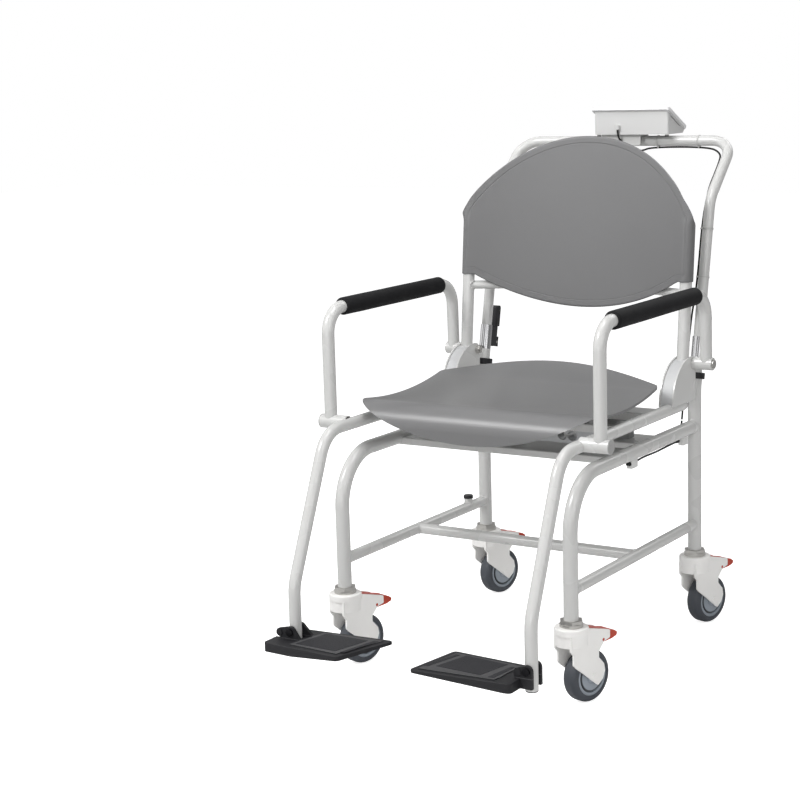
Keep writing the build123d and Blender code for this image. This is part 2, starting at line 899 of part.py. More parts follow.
with BuildPart() as arm_pad:
    with BuildSketch(Plane.XZ.offset(-(arm_front_y + arm_bend_radius))):
        with Locations((arm_x, arm_top_z)):
            Circle(pad_d / 2)
    extrude(amount=-(arm_rear_y - arm_front_y - 2 * arm_bend_radius))
    fillet(arm_pad.edges().filter_by(GeomType.CIRCLE), radius=pad_end_radius)
    add(rod_along_y(arm_front_y, arm_rear_y, arm_x, arm_top_z, arm_tube_d), mode=Mode.SUBTRACT)
save(arm_pad.part, "arm_pad_right")
save(mirrored(arm_pad.part), "arm_pad_left")

with BuildPart() as arm_bolt:
    head_x = arm_hub_end_x + face_gap
    nut_x = plate_inner_x - arm_nut_height
    with BuildSketch(Plane.YZ.offset(nut_x - overrun)):
        with Locations((arm_pivot_y, arm_pivot_z)):
            Circle(arm_bolt_d / 2)
    extrude(amount=head_x - nut_x + overrun)
    with BuildSketch(Plane.YZ.offset(head_x)):
        with Locations((arm_pivot_y, arm_pivot_z)):
            Circle(arm_bolt_head_d / 2)
    extrude(amount=arm_bolt_head)
    with BuildSketch(Plane.YZ.offset(nut_x)):
        with Locations((arm_pivot_y, arm_pivot_z)):
            RegularPolygon(arm_nut_across / 2, side_count=6, major_radius=False)
    extrude(amount=arm_nut_height)

# Push handle
kink_along = (handle_kink_z - lean_start_z) / lean_z
handle_tube = bent_tube(
    [
        on_post(handle_low),
        on_post(kink_along),
        (leg_x, handle_bar_y, handle_bar_z),
        (-leg_x, handle_bar_y, handle_bar_z),
        (-leg_x, on_post(kink_along)[1], on_post(kink_along)[2]),
        (-leg_x, on_post(handle_low)[1], on_post(handle_low)[2]),
    ],
    [handle_kink_radius, handle_corner_radius, handle_corner_radius, handle_kink_radius],
    handle_d,
    handle_wall,
)
save(handle_tube, "handle_tube")

# Clamp sleeves, their blocks, pins and levers
with BuildPart() as clamp_sleeve:
    with BuildSketch(post_plane(sleeve_start)):
        Circle(post_neck_d / 2)
        Circle(handle_d / 2 + slide_clearance, mode=Mode.SUBTRACT)
        Rectangle(sleeve_slit, post_neck_d, align=(Align.CENTER, Align.MIN), mode=Mode.SUBTRACT)
    extrude(amount=sleeve_end - sleeve_start)
save(both_sides(clamp_sleeve.part), "clamp_sleeves")

with BuildPart() as clamp_block:
    with BuildSketch(post_plane(clamp_low)):
        Rectangle(clamp_width, block_back, align=(Align.CENTER, Align.MIN))
        Circle(post_neck_d / 2, mode=Mode.SUBTRACT)
        Rectangle(sleeve_slit, block_back, align=(Align.CENTER, Align.MIN), mode=Mode.SUBTRACT)
    extrude(amount=clamp_high - clamp_low)
    with BuildSketch(post_plane(clamp_low)):
        with Locations((0, block_back)):
            Rectangle(clamp_width, ear_reach, align=(Align.CENTER, Align.MIN))
            lever_space = lever_root_width + 2 * face_gap
            Rectangle(lever_space, ear_reach, align=(Align.CENTER, Align.MIN), mode=Mode.SUBTRACT)
    extrude(amount=ear_height)
    with BuildSketch(post_plane(clamp_low)):
        with Locations((0, block_back - block_bridge)):
            Rectangle(clamp_width, block_bridge, align=(Align.CENTER, Align.MIN))
    extrude(amount=ear_height)
    add(
        rod_between(
            on_post(clamp_pin_low, -clamp_width, clamp_pin_back),
            on_post(clamp_pin_low, clamp_width, clamp_pin_back),
            clamp_pin_d,
        ),
        mode=Mode.SUBTRACT,
    )
save(both_sides(clamp_block.part), "clamp_blocks")

lever_plane = Plane(
    origin=on_post(clamp_pin_low, 0, clamp_pin_back), x_dir=(0, lean_z, -lean_y), z_dir=(1, 0, 0)
)
root_height = clamp_high - clamp_pin_low
with BuildPart() as clamp_lever:
    with BuildSketch(lever_plane):
        Circle(lever_eye)
        Rectangle(2 * lever_eye, root_height + lever_step, align=(Align.CENTER, Align.MIN))
    extrude(amount=lever_root_width / 2, both=True)
    with BuildSketch(lever_plane) as grip:
        with Locations((lever_offset, root_height + lever_step)):
            Rectangle(lever_thick, lever_length - root_height, align=(Align.CENTER, Align.MIN))
        fillet(grip.vertices().group_by(Axis.Y)[-1], radius=lever_thick / 2 - face_gap)
    extrude(amount=lever_width / 2, both=True)
    with BuildSketch(lever_plane):
        Circle(clamp_pin_d / 2 + pivot_clearance)
    extrude(amount=clamp_width, both=True, mode=Mode.SUBTRACT)
save(clamp_lever.part, "clamp_lever_right")
save(mirrored(clamp_lever.part), "clamp_lever_left")

clamp_pin = rod_between(
    on_post(clamp_pin_low, -clamp_width / 2 - pin_proud, clamp_pin_back),
    on_post(clamp_pin_low, clamp_width / 2 + pin_proud, clamp_pin_back),
    clamp_pin_d,
)

with BuildPart() as post_ring:
    with BuildSketch(post_plane(post_shoulder)):
        Circle(ring_d / 2)
        Circle(post_neck_d / 2, mode=Mode.SUBTRACT)
    extrude(amount=ring_height)
    fillet(post_ring.edges().filter_by(GeomType.CIRCLE).sort_by(SortBy.RADIUS)[-2:], radius=edge_round)
save(both_sides(post_ring.part), "post_rings")

# Indicator on the handle's bar: the face slopes down toward the person behind the chair
case_floor_z = handle_bar_z + handle_d / 2 + saddle_height
face_top_z = case_floor_z + face_rise
face_front_y = handle_bar_y - face_ahead_of_bar
tilt_y = cos(radians(face_tilt))
tilt_z = sin(radians(face_tilt))
face_plane = Plane(
    origin=(case_x, face_front_y + face_length / 2 * tilt_y, face_top_z - face_length / 2 * tilt_z),
    x_dir=(-1, 0, 0),
    z_dir=(0, tilt_z, tilt_y),
)
key_row = [(place - (key_count - 1) / 2) * key_pitch for place in range(key_count)]
with BuildPart() as indicator_face:
    with BuildSketch(face_plane) as face_outline:
        Rectangle(face_width, face_length)
        chamfer(face_outline.vertices().group_by(Axis.Y)[0], length=face_corner)
        fillet(face_outline.vertices().group_by(Axis.Y)[-1], radius=face_corner)
    extrude(amount=-face_plate)
    with BuildSketch(face_plane):
        Rectangle(face_width - 2 * face_recess_margin, face_length - 2 * face_recess_margin)
    extrude(amount=-face_recess, mode=Mode.SUBTRACT)
    with BuildSketch(face_plane.offset(-face_recess)):
        with Locations((0, window_up)):
            Rectangle(window_width, window_height)
    extrude(amount=-window_plate, mode=Mode.SUBTRACT)
    with BuildSketch(face_plane.offset(-face_recess)):
        with Locations(*[(spot, -key_down) for spot in key_row]):
            Rectangle(key_width + 2 * key_gap, key_height + 2 * key_gap)
    extrude(amount=-key_pocket, mode=Mode.SUBTRACT)
    with BuildSketch(face_plane.offset(-face_recess)):
        with Locations((-lamp_side, lamp_up)):
            Circle(lamp_d / 2)
    extrude(amount=-lamp_depth, mode=Mode.SUBTRACT)
save(indicator_face.part, "indicator_face")

with BuildPart() as display_window:
    with BuildSketch(face_plane.offset(-face_recess - window_plate)):
        with Locations((0, window_up)):
            Rectangle(window_width, window_height)
    extrude(amount=window_plate)
save(display_window.part, "display_window")

for place, spot in enumerate(key_row):
    with BuildPart() as key:
        with BuildSketch(face_plane.offset(-face_recess + key_proud)):
            with Locations((spot, -key_down)):
                RectangleRounded(key_width, key_height, edge_round)
        extrude(amount=-key_thick)
    save(key.part, "key_" + str(place + 1))


def under_face(depth):
    """Height of the face plate's lower side at a distance from the front wall line."""
    return face_top_z - face_plate / tilt_y - (depth - face_front_y) * tilt_z / tilt_y


case_front_y = face_front_y + case_inset
case_rear_y = face_front_y + face_length * tilt_y - case_rear_step


def case_profile(wall):
    """The case's side outline, moved inward by the wall thickness below and at both ends."""
    lower_rear_y = case_rear_y - case_rear_slope - wall
    return [
        (case_front_y + wall, under_face(case_front_y + wall)),
        (case_front_y + wall, case_floor_z + wall),
        (lower_rear_y, case_floor_z + wall),
        (case_rear_y - wall, under_face(case_rear_y - wall)),
    ]


case_half = face_width / 2 - case_inset
with BuildPart() as indicator_case:
    with BuildSketch(Plane.YZ.offset(case_x)):
        Polygon(*case_profile(0), align=None)
    extrude(amount=case_half, both=True)
    fillet(indicator_case.edges().filter_by(Axis.Z), radius=case_fillet)
    with BuildSketch(Plane.YZ.offset(case_x)):
        Polygon(*case_profile(case_wall), align=None)
    extrude(amount=case_half - case_wall, both=True, mode=Mode.SUBTRACT)
    slot_plane = Plane(
        origin=(
            case_x + case_half,
            face_front_y + side_slot_start * tilt_y,
            face_top_z - side_slot_start * tilt_z - side_slot_down,
        ),
        x_dir=(0, tilt_y, -tilt_z),
        z_dir=(1, 0, 0),
    )
    with BuildSketch(slot_plane):
        Rectangle(side_slot_length, side_slot, align=(Align.MIN, Align.CENTER))
    extrude(amount=case_wall * 2, both=True, mode=Mode.SUBTRACT)
    with BuildSketch(Plane.XY.offset(case_floor_z)):
        for side in (-1, 1):
            with Locations((case_x + side * case_foot_x, case_front_y + case_foot_d)):
                Circle(case_foot_d / 2)
    extrude(amount=-saddle_plate)
    with BuildSketch(Plane.XY.offset(case_floor_z + gland_above_floor)):
        with Locations((gland_x, case_front_y + case_wall / 2 - gland_d / 2)):
            Circle(gland_d / 2)
    extrude(amount=gland_height)
save(indicator_case.part, "indicator_case")

with BuildPart() as indicator_saddle:
    with BuildSketch(Plane.YZ.offset(saddle_x)):
        with Locations((handle_bar_y - saddle_ahead, case_floor_z)):
            Rectangle(saddle_ahead + saddle_behind, saddle_height, align=(Align.MIN, Align.MAX))
            Rectangle(saddle_plate, saddle_height + saddle_drop, align=(Align.MIN, Align.MAX))
        with Locations((handle_bar_y + saddle_behind, case_floor_z)):
            Rectangle(saddle_plate, saddle_height + saddle_drop, align=(Align.MAX, Align.MAX))
    extrude(amount=saddle_length / 2, both=True)
    with BuildSketch(Plane.XZ.offset(-(handle_bar_y - saddle_ahead - overrun))):
        with Locations((saddle_eye_x, case_floor_z - saddle_eye_drop)):
            Circle(saddle_eye_d / 2)
    extrude(amount=-saddle_plate - 2 * overrun, mode=Mode.SUBTRACT)
    fillet(indicator_saddle.edges().filter_by(Axis.Y).group_by(Axis.Z)[0], radius=saddle_plate)
save(indicator_saddle.part, "indicator_saddle")


# Foot plates, built at the right-hand hanger and mirrored for the left one
def foot_plate(outer_x, inner_front_x, inner_back_x, screw_x, slotted, gusset):
    """One foot plate with its two hinge cheeks."""
    plan = [
        (outer_x, hanger_y - plate_front_hinge),
        (inner_front_x, hanger_y - plate_front_inner),
        (inner_back_x, hanger_y + plate_back_inner),
        (outer_x, hanger_y + plate_back_hinge),
    ]
    inner_x = min(inner_front_x, inner_back_x)
    hinge_low_z = plate_top_z - plate_hinge_thick
    cheek_inner = seat_tube_d / 2 + cheek_gap
    with BuildPart() as plate:
        with BuildSketch(Plane.XY.offset(hinge_low_z)) as slab:
            Polygon(*plan, align=None)
            fillet(slab.vertices(), radius=plate_corner)
        extrude(amount=plate_hinge_thick)
        with BuildSketch(Plane.XZ.offset(-hanger_y)):
            Polygon(
                (outer_x, hinge_low_z),
                (outer_x, plate_top_z),
                (inner_x, plate_top_z),
                (inner_x, plate_top_z - plate_inner_thick),
                (plate_taper_x, hinge_low_z),
                align=None,
            )
        extrude(amount=plate_depth_reach, both=True, mode=Mode.INTERSECT)
        top_edges = plate.faces().sort_by(Axis.Z)[-1].edges()
        fillet(top_edges, radius=edge_round)
        with BuildSketch(Plane.XY.offset(plate_top_z)):
            with BuildSketch(mode=Mode.PRIVATE) as rim:
                Polygon(*plan, align=None)
                with BuildSketch(mode=Mode.PRIVATE) as keep:
                    with Locations((border_start_x, hanger_y)):
                        Rectangle(outer_x, outer_x, align=(Align.MAX, Align.CENTER))
                add(keep.sketch, mode=Mode.INTERSECT)
            offset(rim.sketch, amount=-border_inset, kind=Kind.INTERSECTION)
            offset(
                rim.sketch, amount=-border_inset - border_width, kind=Kind.INTERSECTION, mode=Mode.SUBTRACT
            )
            offset(rim.sketch, amount=-tread_inset, kind=Kind.INTERSECTION)
        extrude(amount=border_height)
        for side in (-1, 1):
            cheek_y = hanger_y + side * (cheek_inner + cheek_thick / 2)
            front = side < 0
            low_z = plate_top_z - cheek_root if slotted else hinge_low_z
            base_in_x = gusset_x if gusset and not front else cheek_base_in_x
            base_middle = ((base_in_x + cheek_base_out_x) / 2, (plate_top_z + low_z) / 2)
            with BuildSketch(Plane.XZ.offset(-cheek_y)):
                with Locations((seat_tube_x, hinge_z)):
                    Circle(cheek_radius)
                if front:
                    with Locations((screw_x, screw_z)):
                        Circle(screw_lobe)
                with Locations(base_middle):
                    Rectangle(cheek_base_out_x - base_in_x, plate_top_z - low_z)
                make_hull()
            extrude(amount=cheek_thick / 2, both=True)
        if slotted:
            with BuildSketch(Plane.XY.offset(hinge_low_z)):
                with Locations((slot_inner_x, hanger_y)):
                    Rectangle(outer_x, 2 * cheek_inner, align=(Align.MIN, Align.CENTER))
            extrude(amount=plate_hinge_thick + border_height, mode=Mode.SUBTRACT)
        with BuildSketch(Plane.XZ.offset(-(hanger_y - cheek_inner - cheek_thick))):
            with Locations((screw_x, screw_z)):
                Circle(screw_boss_d / 2)
        extrude(amount=screw_boss)
        near = hanger_y - plate_depth_reach
        far = hanger_y + plate_depth_reach
        pin_bore = plate_pin_d + 2 * pivot_clearance
        add(rod_along_y(near, far, seat_tube_x, hinge_z, pin_bore), mode=Mode.SUBTRACT)
    return plate.part


save(
    foot_plate(right_outer_x, right_inner_front_x, right_inner_back_x, right_screw_x, False, False),
    "footplate_right",
)
save(
    mirrored(foot_plate(left_outer_x, left_inner_front_x, left_inner_back_x, left_screw_x, True, True)),
    "footplate_left",
)
pin_reach = seat_tube_d / 2 + cheek_gap + cheek_thick + face_gap
with BuildPart() as footplate_pin:
    add(rod_along_y(hanger_y - pin_reach, hanger_y + pin_reach, seat_tube_x, hinge_z, plate_pin_d))
    for side in (-1, 1):
        head_y = hanger_y + side * pin_reach
        add(rod_along_y(head_y, head_y + side * plate_pin_head, seat_tube_x, hinge_z, plate_pin_head_d))
with BuildPart() as pivot_pins:
    for one_pin in (arm_bolt.part, clamp_pin, footplate_pin.part):
        add(both_sides(one_pin))
save(pivot_pins.part, "pivot_pins")

# Casters, each built with its stem on the origin's vertical and its wheel toward +Y
with BuildPart() as fork:
    with BuildSketch(Plane.XY.offset(cap_seam_z)):
        Circle(cap_d / 2)
    extrude(amount=cap_top_z - cap_seam_z)
    fillet(fork.edges().group_by(Axis.Z)[-1], radius=cap_round)
    with BuildSketch(Plane.XY.offset(head_bottom_z)):
        Circle(head_d / 2)
    extrude(amount=cap_seam_z - head_bottom_z)
    with BuildSketch(Plane.XY.offset(cap_seam_z)):
        Circle(cap_d / 2)
        Circle(cap_d / 2 - cap_seam, mode=Mode.SUBTRACT)
    extrude(amount=cap_seam, mode=Mode.SUBTRACT)
    for side in (-1, 1):
        start = fork_inner if side > 0 else -fork_inner - fork_plate
        with BuildSketch(Plane.YZ.offset(start)) as plate_outline:
            Polygon(*scaled(fork_shares, fork_reach, fork_height), align=None)
            fillet(plate_outline.vertices(), radius=fork_soft_corners)
        extrude(amount=fork_plate)
    with BuildSketch(Plane.XY.offset(web_bottom_z)):
        with Locations((0, (web_start + web_end) / 2)):
            Rectangle(2 * fork_inner, web_end - web_start)
    extrude(amount=web_top_z - web_bottom_z)
    with BuildSketch(Plane.XY.offset(cap_top_z)):
        Circle(stem_d / 2)
    extrude(amount=stem_top_z - cap_top_z - face_gap)
    fork_half = fork_inner + fork_plate
    with BuildSketch(Plane.YZ.offset(-fork_half - axle_head)):
        with Locations((caster_trail, wheel_d / 2)):
            Circle(axle_d / 2)
    extrude(amount=2 * fork_half + 2 * axle_head)
    for side_x in (-fork_half - axle_head, fork_half):
        with BuildSketch(Plane.YZ.offset(side_x)):
            with Locations((caster_trail, wheel_d / 2)):
                Circle(axle_head_d / 2)
        extrude(amount=axle_head)
    with BuildSketch(Plane.YZ):
        with Locations((pedal_pin_back, pedal_pin_z)):
            Circle(pedal_pin_d / 2 + pivot_clearance)
    extrude(amount=2 * fork_half, both=True, mode=Mode.SUBTRACT)

with BuildPart() as tyre:
    with BuildSketch(Plane.YZ):
        with Locations((caster_trail, wheel_d / 2)):
            Circle(wheel_d / 2)
    extrude(amount=tread_width / 2, both=True)
    fillet(tyre.edges().filter_by(GeomType.CIRCLE), radius=tyre_round)
    with BuildSketch(Plane.YZ):
        with Locations((caster_trail, wheel_d / 2)):
            Circle(hub_d / 2)
    extrude(amount=tread_width, both=True, mode=Mode.SUBTRACT)

with BuildPart() as hub:
    with BuildSketch(Plane.YZ):
        with Locations((caster_trail, wheel_d / 2)):
            Circle(hub_d / 2)
    extrude(amount=hub_width / 2, both=True)
    for side in (-1, 1):
        with BuildSketch(Plane.YZ.offset(side * hub_width / 2)):
            with Locations((caster_trail, wheel_d / 2)):
                Circle(hub_groove_d / 2 + hub_groove / 2)
                Circle(hub_groove_d / 2 - hub_groove / 2, mode=Mode.SUBTRACT)
        extrude(amount=-side * hub_groove, mode=Mode.SUBTRACT)
    with BuildSketch(Plane.YZ):
        with Locations((caster_trail, wheel_d / 2)):
            Circle(hub_boss_d / 2)
    extrude(amount=hub_boss_width / 2, both=True)
    with BuildSketch(Plane.YZ):
        with Locations((caster_trail, wheel_d / 2)):
            Circle(axle_d / 2 + pivot_clearance)
    extrude(amount=hub_width, both=True, mode=Mode.SUBTRACT)

with BuildPart() as pedal:
    with BuildSketch(Plane.YZ) as pedal_sketch:
        Polygon(*scaled(pedal_shares, pedal_reach, pedal_top_z), align=None)
        fillet(pedal_sketch.vertices(), radius=pedal_soft_corners)
    extrude(amount=pedal_width / 2, both=True)
    with BuildSketch(Plane.YZ):
        with Locations((pedal_pin_back, pedal_pin_z)):
            Circle(pedal_pin_d / 2)
    extrude(amount=fork_half - face_gap, both=True)

with BuildPart() as collar:
    with BuildSketch(Plane.XY.offset(cap_top_z + face_gap)):
        Circle(collar_d / 2)
    extrude(amount=collar_step_z - cap_top_z - face_gap)
    with BuildSketch(Plane.XY.offset(collar_step_z)):
        RegularPolygon(collar_nut_across / 2, side_count=6, major_radius=False)
    extrude(amount=leg_bottom_z - collar_step_z)
    with BuildSketch(Plane.XY.offset(leg_bottom_z)):
        Circle(base_tube_d / 2 - base_tube_wall)
    extrude(amount=spigot_length)
    with BuildSketch(Plane.XY.offset(cap_top_z)):
        Circle(stem_d / 2 + pivot_clearance)
    extrude(amount=stem_top_z - cap_top_z, mode=Mode.SUBTRACT)

caster_places = {
    "front_right": (leg_x, front_leg_y),
    "front_left": (-leg_x, front_leg_y),
    "rear_right": (leg_x, rear_leg_y),
    "rear_left": (-leg_x, rear_leg_y),
}
with BuildPart() as caster_collars:
    with Locations(*[Location((x, y, 0)) for x, y in caster_places.values()]):
        add(collar.part)
save(caster_collars.part, "caster_collars")

for place, (x, y) in caster_places.items():
    stance = Location((x, y, 0), (0, 0, -caster_turn))
    with BuildPart() as placed_fork:
        with Locations(stance):
            add(fork.part)
    save(placed_fork.part, "caster_fork_" + place)
    with BuildPart() as placed_tyre:
        with Locations(stance):
            add(tyre.part)
    save(placed_tyre.part, "tyre_" + place)
    with BuildPart() as placed_hub:
        with Locations(stance):
            add(hub.part)
    save(placed_hub.part, "hub_" + place)
    with BuildPart() as placed_pedal:
        with Locations(stance):
            add(pedal.part)
    save(placed_pedal.part, "brake_pedal_" + place)


# Cables: one rides with the handle, the other stays on the base
def cable_along(route, diameter):
    """A cable, or its tunnel, along a route whose bends are as large as the runs beside them allow."""
    points = [Vector(x, front_leg_y + y, z) for x, y, z in route]
    radii = []
    for before, here, after in zip(points, points[1:], points[2:]):
        run_in = here - before
        run_out = after - here
        half_turn = radians(run_in.get_angle(run_out)) / 2
        radii.append(cable_bend_share * min(run_in.length, run_out.length) / tan(half_turn))
    print("cable", diameter, "radii", [round(radius, 1) for radius in radii])
    return bent_tube(points, radii, diameter, 0)


indicator_cable = cable_along(indicator_route, cable_d)
cell_cable = cable_along(cell_route, cable_d)
save(indicator_cable, "indicator_cable")
save(cell_cable, "load_cell_cable")


def tie_round(tube_plane):
    """A tie round a tube and the cable that lies along it, on the plane's x side."""
    with BuildPart() as tie:
        with BuildSketch(tube_plane):
            Circle(handle_d / 2 + tie_wall)
            with Locations((cable_beside_tube, 0)):
                Circle(cable_d / 2 + tie_wall)
            make_hull()
        extrude(amount=tie_width / 2, both=True)
        with BuildSketch(tube_plane):
            Circle(handle_d / 2)
            with Locations((cable_beside_tube, 0)):
                Circle(cable_d / 2 + slide_clearance)
            make_hull()
        extrude(amount=tie_width, both=True, mode=Mode.SUBTRACT)
    return tie.part


with BuildPart() as cable_ties:
    for place in (bar_tie_near_x, bar_tie_far_x):
        add(tie_round(Plane(origin=(place, handle_bar_y, handle_bar_z), x_dir=(0, 0, -1), z_dir=(1, 0, 0))))
    for along in (post_tie_low, post_tie_high):
        add(tie_round(Plane(origin=on_post(along), x_dir=(-1, 0, 0), z_dir=(0, lean_y, lean_z))))
save(cable_ties.part, "cable_ties")


def on_tail(height):
    """The point of the indicator cable's straight tail at a height."""
    tail_top, tail_end = (Vector(x, front_leg_y + y, z) for x, y, z in indicator_route[-2:])
    return tail_end + (tail_top - tail_end) * (height - tail_end.Z) / (tail_top.Z - tail_end.Z)


cell_tunnel = cable_along(cell_route, cable_d + 2 * slide_clearance)
with BuildPart() as cable_clips:
    guide_middle = (on_tail(guide_low_z) + on_tail(guide_high_z)) / 2
    toward_post = Vector(leg_x - guide_middle.X, rear_leg_y - guide_middle.Y, 0)
    with BuildSketch(Plane(origin=guide_middle, x_dir=(0, 0, 1), z_dir=toward_post)):
        Rectangle(guide_foot_height, guide_foot_width)
    extrude(amount=toward_post.length)
    add(rod_between(on_tail(guide_low_z), on_tail(guide_high_z), guide_d))
    add(post_envelope, mode=Mode.SUBTRACT)
    guide_cutter = rod_between(on_tail(guide_low_z - overrun), on_tail(guide_high_z + overrun), guide_bore)
    add(guide_cutter, mode=Mode.SUBTRACT)
    for clip_y, clip_length in ((rear_clip_y, rear_clip_length), (front_clip_y, front_clip_length)):
        with BuildSketch(Plane.XY.offset(clip_low_z)):
            with Locations((clip_x, clip_y)):
                RectangleRounded(clip_width, clip_length, edge_round)
        extrude(amount=clip_high_z - clip_low_z)
    end_x, end_y = cell_route[-1][:2]
    with BuildSketch(Plane.XY.offset(tray_top_z - tray_plate)):
        with Locations((end_x, front_leg_y + end_y)):
            Circle(grommet_d / 2)
    extrude(amount=-grommet_height)
    add(base_rail_cutter, mode=Mode.SUBTRACT)
    add(cell_tunnel, mode=Mode.SUBTRACT)
save(cable_clips.part, "cable_clips")


# Plugs: one turned form for every open tube end
def plug_at(end, outward, outer, bore):
    """A plug with a flat head on the tube's end and a spigot in its bore."""
    head_plane = Plane(origin=end, z_dir=outward)
    with BuildPart() as plug:
        with BuildSketch(head_plane):
            Circle(outer / 2)
        extrude(amount=plug_plate)
        head_face = plug.faces().sort_by_distance(head_plane.offset(plug_plate).origin)[0]
        fillet(head_face.edges(), radius=plug_plate / 2)
        with BuildSketch(head_plane):
            Circle(bore / 2 - plug_gap)
        extrude(amount=-plug_reach)
    return plug.part


seat_bore = seat_tube_d - 2 * seat_tube_wall
with BuildPart() as stub_cap:
    with BuildSketch(Plane.XY.offset(stub_top_z - stub_cap_lap)):
        with Locations((-leg_x, stub_y)):
            Circle(stub_cap_d / 2)
    extrude(amount=stub_cap_height)
    fillet(stub_cap.faces().sort_by(Axis.Z)[-1].edges(), radius=edge_round)
    with BuildSketch(Plane.XY.offset(stub_top_z - stub_cap_lap)):
        with Locations((-leg_x, stub_y)):
            Circle(stub_d / 2)
    extrude(amount=stub_cap_lap, mode=Mode.SUBTRACT)
rear_end = (seat_tube_x, seat_tube_rear_y, seat_tube_z)
low_end = (seat_tube_x, hanger_y, hanger_bottom_z)
stub_end = (arm_stub_end_x, arm_front_y, arm_stub_z)
with BuildPart() as tube_plugs:
    add(both_sides(plug_at(rear_end, (0, 1, 0), seat_tube_d, seat_bore)))
    add(both_sides(plug_at(low_end, (0, 0, -1), seat_tube_d, seat_bore)))
    add(both_sides(plug_at(stub_end, (1, 0, 0), arm_stub_d, arm_stub_d - 2 * seat_tube_wall)))
    add(stub_cap.part)
save(tube_plugs.part, "tube_plugs")
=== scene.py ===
"""Looks for the digital chair scale: finishes, soft goods, cables, fittings, floor, lamps and camera."""

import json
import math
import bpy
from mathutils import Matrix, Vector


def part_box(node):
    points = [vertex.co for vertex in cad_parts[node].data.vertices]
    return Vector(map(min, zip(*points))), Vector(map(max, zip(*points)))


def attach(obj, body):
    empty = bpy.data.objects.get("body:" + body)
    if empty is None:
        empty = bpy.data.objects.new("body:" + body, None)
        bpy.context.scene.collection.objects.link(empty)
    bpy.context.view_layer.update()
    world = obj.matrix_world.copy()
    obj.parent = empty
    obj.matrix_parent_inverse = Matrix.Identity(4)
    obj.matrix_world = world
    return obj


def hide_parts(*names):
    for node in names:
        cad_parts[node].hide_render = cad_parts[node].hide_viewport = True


bl_info = {
    "name": "Chair scale finishes",
    "version": (1, 1, 0),
    "blender": (4, 5, 0),
    "location": "View3D > Sidebar > Chair scale",
    "description": "Dresses the packed chair scale with its finishes, fabric, cables and studio",
    "category": "Object",
}

import bmesh
import bpy
from bpy.props import FloatProperty, FloatVectorProperty, PointerProperty
from mathutils import Matrix, Vector, noise

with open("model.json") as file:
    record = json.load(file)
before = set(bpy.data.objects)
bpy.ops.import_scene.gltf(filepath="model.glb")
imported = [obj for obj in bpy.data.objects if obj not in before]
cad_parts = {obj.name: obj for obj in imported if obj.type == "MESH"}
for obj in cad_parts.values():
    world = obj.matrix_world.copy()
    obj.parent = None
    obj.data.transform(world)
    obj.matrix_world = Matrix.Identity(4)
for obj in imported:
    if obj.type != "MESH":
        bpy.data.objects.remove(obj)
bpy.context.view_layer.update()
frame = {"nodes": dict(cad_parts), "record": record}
nodes = frame["nodes"]

MM = 0.001
SIDES = {"right": 1.0, "left": -1.0}
CASTERS = ("front_right", "front_left", "rear_right", "rear_left")

# Places and radii of the frame in millimetres; what is named BACK counts from the front legs
FRONT_LEGS = -298.3
LEG_X = 251.0
WHEELBASE = 564.0
BASE_TUBE_RADIUS = 14.0
TOP_RAIL_Z = 427.0
LOWER_RAIL_Z = 219.0
LOWER_RAIL_RADIUS = 11.0
RAIL_STUB_BACK = 489.0
POST_X = 253.0
POST_RADIUS = 12.5
POST_FOOT_BACK = 491.3
POST_FOOT_Z = 484.0
POST_LEAN = math.radians(6.0)
CROSS_TUBE_Z = 706.0
SMALL_TUBE_RADIUS = 9.0
HANDLE_BAR_BACK = 768.0


def middle(node):
    """Centre of a CAD node's box, in metres."""
    low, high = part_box(node)
    return (Vector(low) + Vector(high)) / 2


def from_legs(x, back, z):
    """A place in metres, from millimetres with the depth measured from the front legs."""
    return Vector((x * MM, (back + FRONT_LEGS) * MM, z * MM))


def post_axis(height):
    """A point on the middle plane, level with the back posts' leaning axis, at a height in metres."""
    back = (FRONT_LEGS + POST_FOOT_BACK) * MM + (height - POST_FOOT_Z * MM) * math.tan(POST_LEAN)
    return Vector((0.0, back, height))


def colour(name, text, default):
    """A colour setting shown in the sidebar."""
    return FloatVectorProperty(
        name=name, description=text, subtype="COLOR", size=3, min=0.0, max=1.0, default=default
    )


def length(name, text, default):
    """A length setting in metres shown in the sidebar."""
    return FloatProperty(name=name, description=text, unit="LENGTH", min=0.0, default=default)


